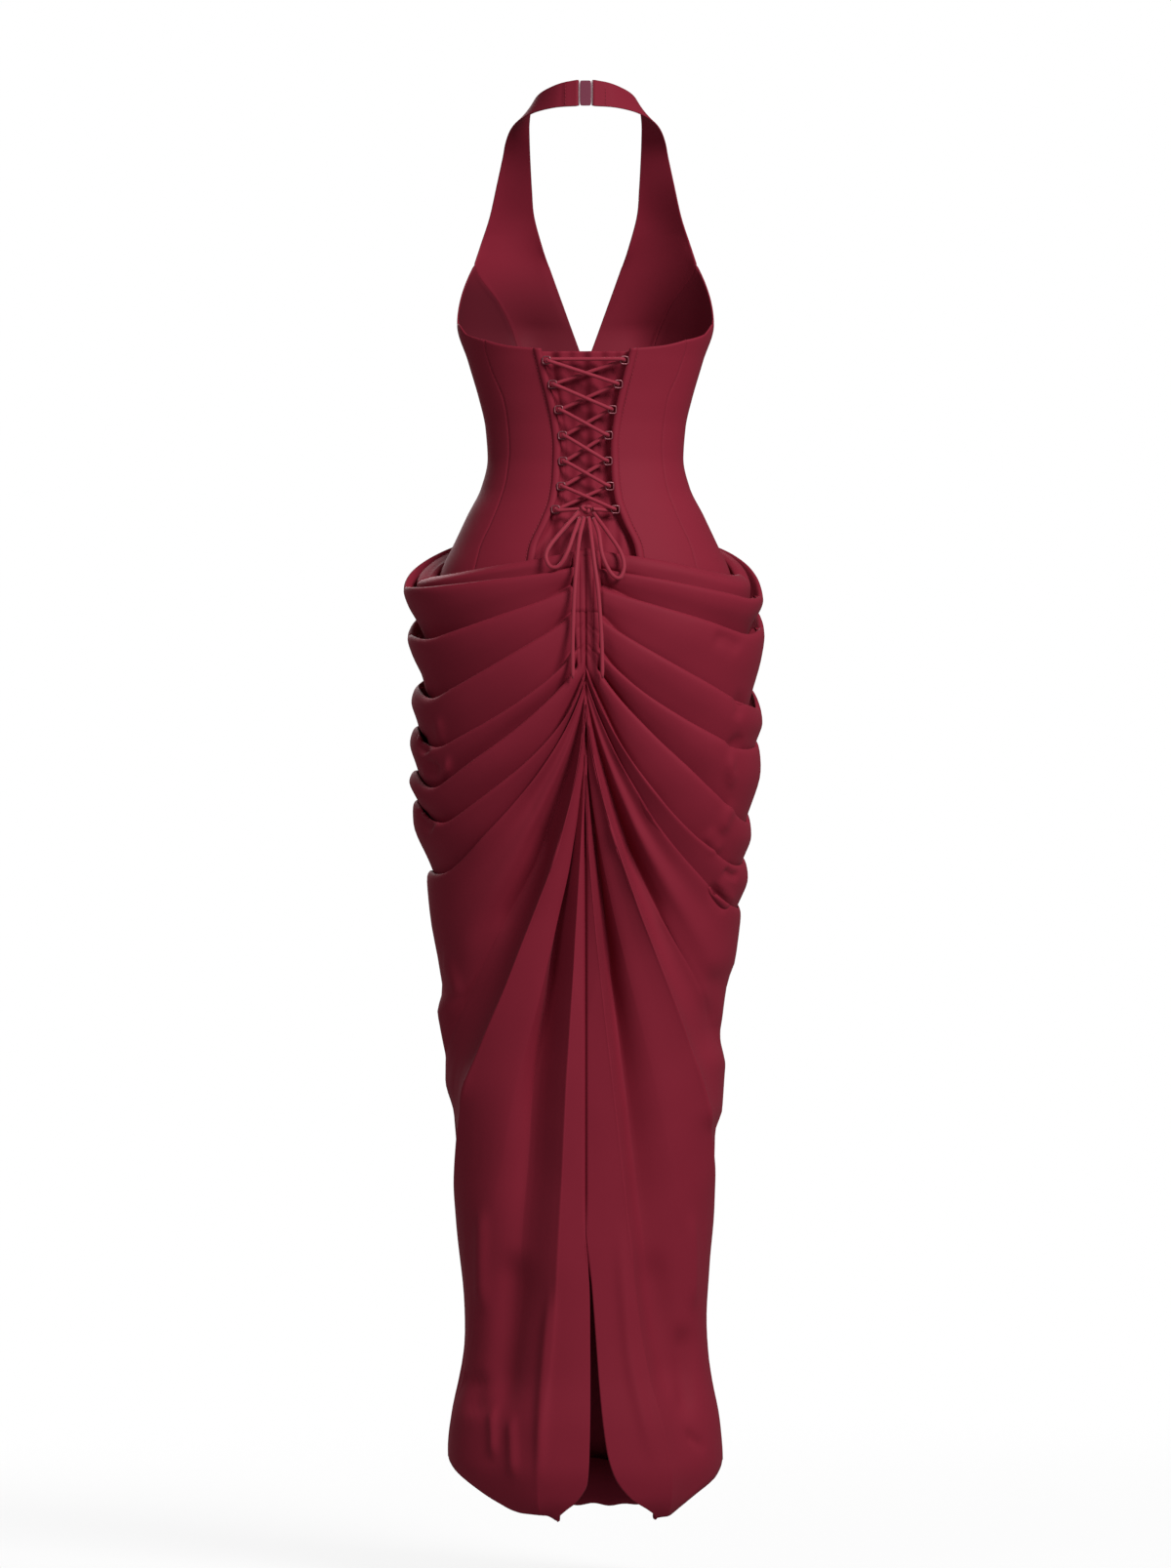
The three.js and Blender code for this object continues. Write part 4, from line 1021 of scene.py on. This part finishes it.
GATHER = {
    "left": table("z half", (-640, 9.5), (-560, 13.0), (-490, 14.0)),
    "right": table("z half", (-640, 13.0), (-560, 16.5), (-490, 16.0)),
    "top": -492, "low": -640, "off": 1.2, "flat": 0.9, "groove": 3.0,
}
NICKS = (
    ([(-16, -577), (-8, -573), (-1, -567)], 1, -1.6),
    ([(1, -567), (9, -575), (15, -580)], 1, -1.6),
    ([(-16, -599), (-8, -596), (-1, -590)], 1, -1.6),
    ([(1, -589), (9, -598), (14, -604)], 1, -1.6),
    ([(1, -547), (7, -551), (12, -549)], 1, -1.4),
    ([(-14, -549), (-8, -549), (-1, -547)], 1, -1.2),
    ([(1, -526), (8, -528), (13, -526)], 0.9, -1.2),
    ([(-14, -527), (-8, -527), (-1, -525)], 0.9, -1.0),
    ([(7.5, -494), (8, -560), (7, -622)], 0.9, -1.6),
    ([(-6, -494), (-6.5, -560), (-5.5, -622)], 0.9, -1.2),
)


def gathered(grid, side):
    """Beside the centre seam the folds are sewn down flat in a narrow strip. A groove runs along
    its edge and another down the seam."""
    x, z = grid[..., 0], grid[..., 2]
    half = read(GATHER[side], "half", z)
    within = smooth((z - GATHER["low"]) / 30) * smooth((GATHER["top"] - z) / 6)
    strip = smooth((half - np.abs(x)) / 2.0) * within
    flat = skirt_point(skirt_turn(x, z, side), z, GATHER["off"])
    grid = grid.copy()
    grid[..., 1] = mix(grid[..., 1], flat[..., 1], strip * GATHER["flat"])
    grid[..., 1] -= creased(grid, NICKS) * within
    groove = bell(np.abs(x) - half, 1.2) * within
    seam = bell(x, 1.5) * smooth((z + 1230) / 60) * smooth((GATHER["top"] - z) / 6)
    grid[..., 1] += (groove + seam * 0.8) * GATHER["groove"]
    return grid


def woven(net):
    """A smooth grid through the rows of a net, and the way out of the cloth at its points."""
    net = np.array(net)
    grid = through(net.reshape(len(net), -1), EACH).reshape(-1, *net.shape[1:])
    return grid, grid_normals(grid)[0]


def skirt_back_grid(folds, side, sign, creases):
    s = BACK_COLUMNS
    last = len(folds) - 1
    lines = [fold_line(f, side, s, SLIT[side] if k == last else None) for k, f in enumerate(folds)]
    net = inner_rows(lines[0], sign, 1.4)
    at_side = smooth((s - 0.55) / 0.45)
    for step in fold_steps(folds):
        k = step[0]
        shift = hem_shift(step, *lines[k:k + 2], side) * s ** 6
        above, below = ({**line, "z": line["z"] + shift} for line in lines[k:k + 2])
        full = 1.0 if k < 1 else smooth((s - 0.02) / 0.3)
        slopes = (folds[k]["slope"], folds[k + 1]["slope"])
        net.append(folded_point(step, above, below, full, sign, slopes, at_side))
    grid, normal = woven(net)
    amount = ripple(grid, 0.5) * smooth(np.abs(grid[..., 0]) / 20) + creased(grid, creases)
    grid = gathered(grid + normal * amount[..., None], side)
    least = mix(SEWN, PAST_CENTRE, smooth((SLIT_Z - grid[..., 2]) / SLIT_OVER))
    grid[..., 0] = sign * np.maximum(least, sign * grid[..., 0])
    return under_edges(grid, sign)


def inward(points):
    """Straight towards the body's axis."""
    way = AXIS - points
    way[..., 2] = 0
    return unit(way)


def under_edges(grid, sign):
    """Columns that turn the hem under and up, and take the side seam inwards. Rows that take
    the centre seam and the slit's edges inwards."""
    edge = grid[:, -1]
    hem = smooth((SIDE_HEM_Z - edge[:, 2]) / 20)[:, None]
    extra = []
    for into, up in TURN_UNDER:
        move = inward(edge) * into + UPWARDS * up * hem
        move[-6:] *= np.linspace(0.8, 0.3, 6)[:, None]
        extra.append((edge + move)[:, None])
    grid = np.concatenate([grid] + extra, 1)
    edge = grid[-1]
    rows = []
    slit = smooth((SLIT_Z - 7 - edge[:, 2]) / SLIT_OVER)
    near_tip = mix(1, 0.15, smooth((edge[:, 2].min() + 30 - edge[:, 2]) / 30))
    for across, into in SEAM_UNDER:
        moved = edge.copy()
        moved[:, 0] = mix(sign * SEWN, edge[:, 0] + sign * across * near_tip, slit)
        moved[:, 1] += into * near_tip
        rows.append(moved[None])
    return np.concatenate([grid] + rows)


for side, sign in SIDES:
    folds, creases = (LEFT_FOLDS, LEFT_CREASES) if sign < 0 else (RIGHT_FOLDS, RIGHT_CREASES)
    add_cloth(f"skirt_back_{side}", skirt_back_grid(folds, side, sign, creases))

# %% [markdown]
# ## The skirt's front
# The photo hides the front. The folds come round both sides, climb towards the centre and grow
# softer there, and below them the front hangs smooth to the hem.

# %% Skirt front
FRONT_COLUMNS = spread(120)
FRONT_TURN = ((1.5, -1.5), (4.5, -0.5), (6.5, 6), (6.0, 22), (3.4, 48))
SOFT_FROM = 8
HEM_WAVE = {"high": 1.3, "long": 5.5, "from": -1480}


def skirt_front_grid():
    """The folds of both sides, joined across the front. u runs from the left side to the right
    one, and near is 1 at the centre front."""
    u = FRONT_COLUMNS
    near = 1 - np.abs(2 * u - 1)
    soft = mix(1, 0.3, smooth(near))
    lines = []
    for k, climb in enumerate(FRONT_CLIMB):
        left, right = LEFT_FOLDS[k], RIGHT_FOLDS[k]
        lift = mix(left["lift"], right["lift"], u)
        way = 1 - (1 - near) ** mix(1.6, 2.8, u) if k < SOFT_FROM else smooth(near * 1.25)
        softer = mix(1, 0.6, near) if k < 2 else soft
        lines.append({
            "turn": -math.pi / 2 - u * math.pi,
            "z": mix(left["end"], right["end"], u) + lift + (climb - lift) * way,
            "rise": mix(left["rise"][2], right["rise"][2], u) * softer,
            "deep": mix(left["deep"], right["deep"], u) * soft,
        })
    folds = LEFT_FOLDS[:len(FRONT_CLIMB)]
    net = inner_rows(lines[0], 1, 1.9)
    for step in fold_steps(folds):
        k = step[0]
        slopes = (folds[k]["slope"] * 0.5, folds[k + 1]["slope"] * 0.5)
        net.append(folded_point(step, *lines[k:k + 2], 1.0, 1, slopes, 1.0 + 0 * u))
    grid, normal = woven(net)
    fades = mix(1, 0.3, smooth(near * 3))
    amount = ripple(grid, 0.5) + creased(grid, LEFT_CREASES + RIGHT_CREASES) * fades
    grid = grid + normal * amount[..., None]
    grid[..., 1] = np.maximum(grid[..., 1], FORM_Y)
    wave = HEM_WAVE["high"] * np.sin(grid[..., 0] / HEM_WAVE["long"])
    grid[..., 2] += wave * smooth((HEM_WAVE["from"] - grid[..., 2]) / 30)
    hem = grid[-1]
    high = mix(0.28, 1, smooth(near * 2.2))[:, None] * UPWARDS
    rows = [(hem + inward(hem) * into + high * up)[None] for into, up in FRONT_TURN]
    return np.concatenate([grid] + rows)


add_cloth("skirt_front", skirt_front_grid())

# %% [markdown]
# ## Shader maths
# A material is a small calculation. The class below wraps a node's output, so that an expression
# such as pebble * 0.2 + 0.5 adds the Math nodes it needs.

# %% Shader values
class Value:
    """A number in a node tree. The operators add Math nodes."""

    def __init__(self, recipe, socket):
        self.recipe, self.socket = recipe, socket

    def math(self, operation, other):
        return self.recipe.node("ShaderNodeMath", {"operation": operation}, {0: self, 1: other})

    def __add__(self, other):
        return self.math("ADD", other)

    def __mul__(self, other):
        return self.math("MULTIPLY", other)

    def __pow__(self, other):
        return self.math("POWER", other)


class Recipe:
    """A material in the making. One method adds any node."""

    def __init__(self, name, **constants):
        self.material = bpy.data.materials.new(name)
        self.material.use_nodes = True
        self.tree = self.material.node_tree
        self.shader = self.tree.nodes["Principled BSDF"]
        for socket, value in constants.items():
            self.shader.inputs[socket.replace("_", " ")].default_value = value

    def put(self, socket, value):
        if isinstance(value, Value):
            self.tree.links.new(value.socket, socket)
        else:
            socket.default_value = value

    def node(self, kind, settings=None, inputs=None, output=0):
        node = self.tree.nodes.new(kind)
        for key, value in (settings or {}).items():
            setattr(node, key, value)
        for key, value in (inputs or {}).items():
            self.put(node.inputs[key], value)
        return Value(self, node.outputs[output])

    def place(self):
        return self.node("ShaderNodeTexCoord", output="Object")

    def noise(self, scale, detail=2.0, where=None):
        inputs = {"Vector": where or self.place(), "Scale": scale, "Detail": detail}
        return self.node("ShaderNodeTexNoise", inputs=inputs)

    def bump(self, height, strength, distance):
        inputs = {"Height": height, "Strength": strength, "Distance": distance}
        return self.node("ShaderNodeBump", inputs=inputs)

    def blend(self, share, first, second):
        settings = {"data_type": "RGBA"}
        return self.node("ShaderNodeMix", settings, {0: share, 6: first, 7: second}, output=2)

    def finish(self, **links):
        for socket, value in links.items():
            self.put(self.shader.inputs[socket.replace("_", " ")], value)
        return self.material


# %% [markdown]
# ## Crepe
# Crepe is matte because its yarns are twisted hard and lie unevenly: a pebbled surface well
# under a millimetre fine. Its dye is a little uneven, and the cloth is paler where it catches
# light at a slant, which the shader's sheen does. Inside the cups, shade is painted into its
# colour as a darker tone.

# %% Cloth materials
DARK, LIGHT = (0.195, 0.0125, 0.0275, 1), (0.245, 0.0175, 0.0365, 1)
# Painted shade: the darker colour painted inside the cups.
CUP_SHADE_COLOUR = (0.095, 0.0085, 0.0165, 1)
SHEEN_TINT = (1.0, 0.45, 0.5, 1)
GRAIN = {"pebble": (1500, 2.0), "yarn": (420, 3.0), "dye": (7, 3.0)}


def crepe(name, dark, light, roughness, sheen):
    recipe = Recipe(
        name, Sheen_Weight=sheen, Sheen_Roughness=0.4, Specular_IOR_Level=0.1,
        Sheen_Tint=SHEEN_TINT)
    place = recipe.place()
    pebble, yarn, dye = (recipe.noise(*GRAIN[kind], place) for kind in GRAIN)
    colour = recipe.blend(dye * 0.75 + pebble * 0.25, dark, light)
    # Painted shade: where the cups are marked, the colour turns darker.
    cup_shaded = recipe.node("ShaderNodeAttribute", {"attribute_name": "cup_shade"}, output=2)
    colour = recipe.blend(cup_shaded, colour, CUP_SHADE_COLOUR)
    bump = recipe.bump(pebble * 0.6 + yarn * 0.4, 0.25, 0.0005)
    return recipe.finish(Base_Color=colour, Roughness=pebble * 0.2 + (roughness - 0.1), Normal=bump)


materials = {
    "crepe": crepe("crepe", DARK, LIGHT, 0.68, 0.035),
    "crepe_inside": crepe("crepe inside", DARK, LIGHT, 0.75, 0.05),
    "lace_cord": crepe("lace cord", (0.26, 0.022, 0.042, 1), (0.33, 0.034, 0.058, 1), 0.55, 0.3),
    "clasp_plate": crepe("clasp cover", (0.15, 0.03, 0.055, 1), (0.2, 0.05, 0.08, 1), 0.5, 0.15),
}


def enamel(name, colour, worn, roughness, metallic):
    """Coated wire: the coat is a little thinner and duller in patches."""
    recipe = Recipe(name, Metallic=metallic, Coat_Weight=0.3, Coat_Roughness=0.2)
    patches = recipe.noise(500, 3.0)
    bump = recipe.bump(patches, 0.15, 0.0002)
    tone = recipe.blend(patches ** 2.0, colour, worn)
    return recipe.finish(Base_Color=tone, Roughness=patches * 0.2 + (roughness - 0.1), Normal=bump)


materials["ring_wire"] = enamel(
    "ring enamel", (0.2, 0.03, 0.05, 1), (0.4, 0.16, 0.18, 1), 0.35, 0.4)
materials["clasp_bar"] = enamel(
    "clasp metal", (0.34, 0.2, 0.22, 1), (0.5, 0.36, 0.38, 1), 0.38, 0.8)
print("materials:", len(materials))

# %% [markdown]
# ## Handing the pieces over
# Each piece stands for its node of the plain model, rides on the dress's one body, and names its
# finish.

# %% Dress the model
CUTS = {
    "back": ((0.095, 0.29), "stretched"),
    "side_back": ((0.12, 0.3), "stretched"),
    "side_front": ((0.13, 0.36), "stretched"),
    "halter_front": ((0.16, 0.66), "hung"),
    "casing": ((0.016, 0.26), "stretched"),
    "modesty_panel": ((0.12, 0.29), "stretched"),
    "skirt_back_left": ((0.5, 1.4), "gathered"),
    "skirt_back_right": ((0.5, 1.4), "gathered"),
    "skirt_front": ((0.75, 1.5), "draped"),
}


def hand_over(piece, node, slot):
    piece.data.materials.append(materials[slot])
    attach(piece, "root")
    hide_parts(node)


for piece in threads:
    piece.data.materials.append(materials["lace_cord"])
    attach(piece, "root")
slots = {row["node"]: row["material_slot"] for row in frame["record"]["subparts"]}
for node, (piece, area) in cloths.items():
    hand_over(piece, node, slots[node])
    family = node if node in CUTS else node.rsplit("_", 1)[0]
for node, piece in {**rings, **bars, "clasp_plate": plate, "lace": lace, "lace_knot": knot}.items():
    hand_over(piece, node, slots[node])
for node, (piece, path) in cords.items():
    hand_over(piece, node, slots[node])
    tuple(path[0] * MM)
    (path * MM).tolist()

# %% [markdown]
# ## Floor and light
# The floor is pale and fades out, so it has no edge. A large soft light stands to the right and
# above. A weak one on the left keeps the folds' shadows open, and one behind lights the front.
# The camera sees the world as white, but its light on the dress is weak.

# %% Stage
FLOOR_Z = -1.6
FLOOR_RADIUS = 2.6
LIT_PLACE = Vector((0, 0, -0.75))
WORLD_LIGHT, WORLD_SEEN = 0.15, 1.0
WHITE = (1, 1, 1, 1)
turn = np.linspace(0, 2 * math.pi, 96, endpoint=False)
disc = np.stack([np.cos(turn), np.sin(turn), 0 * turn], -1) * FLOOR_RADIUS / MM
disc = disc + np.array([0, FORM_Y, FLOOR_Z / MM])
floor = add_mesh("floor", disc, [np.arange(len(turn))])
paint = Recipe("floor paint", Base_Color=(0.9, 0.9, 0.9, 1), Roughness=0.9)
place = paint.place()
reach = paint.node("ShaderNodeVectorMath", {"operation": "LENGTH"}, {0: place}, output="Value")
ramp_inputs = {"Value": reach, "From Min": 1.7, "From Max": FLOOR_RADIUS + 0.4, "To Min": 0.84}
fade = paint.node("ShaderNodeMapRange", {"interpolation_type": "SMOOTHSTEP"}, ramp_inputs)
clear = paint.node("ShaderNodeBsdfTransparent")
shown = Value(paint, paint.shader.outputs[0])
both = paint.node("ShaderNodeMixShader", inputs={0: fade, 1: shown, 2: clear})
paint.put(paint.tree.nodes["Material Output"].inputs["Surface"], both)
floor.data.materials.append(paint.material)

LIGHTS = (
    ("key", (2.5, -3.3, 2.3), 2.0, 255),
    ("fill", (-3.0, -3.4, -0.2), 2.4, 23),
    ("back", (-1.0, 3.4, 1.2), 2.5, 95),
)
for name, place, size, watts in LIGHTS:
    data = bpy.data.lights.new(name, "AREA")
    data.shape = "DISK"
    data.size = size
    data.energy = watts
    lamp = bpy.data.objects.new(name, data)
    lamp.location = place
    lamp.rotation_euler = (LIT_PLACE - Vector(place)).to_track_quat("-Z", "Y").to_euler()
    bpy.context.scene.collection.objects.link(lamp)

bpy.context.scene.view_settings.view_transform = "Standard"
world = bpy.data.worlds.new("studio")
world.use_nodes = True
bpy.context.scene.world = world
nodes, links = world.node_tree.nodes, world.node_tree.links
lit, seen = nodes["Background"], nodes.new("ShaderNodeBackground")
for background, strength in ((lit, WORLD_LIGHT), (seen, WORLD_SEEN)):
    background.inputs["Color"].default_value = WHITE
    background.inputs["Strength"].default_value = strength
path = nodes.new("ShaderNodeLightPath")
choice = nodes.new("ShaderNodeMixShader")
for k, output in enumerate((path.outputs["Is Camera Ray"], lit.outputs[0], seen.outputs[0])):
    links.new(output, choice.inputs[k])
links.new(choice.outputs[0], nodes["World Output"].inputs[0])
print("lights:", len(LIGHTS))
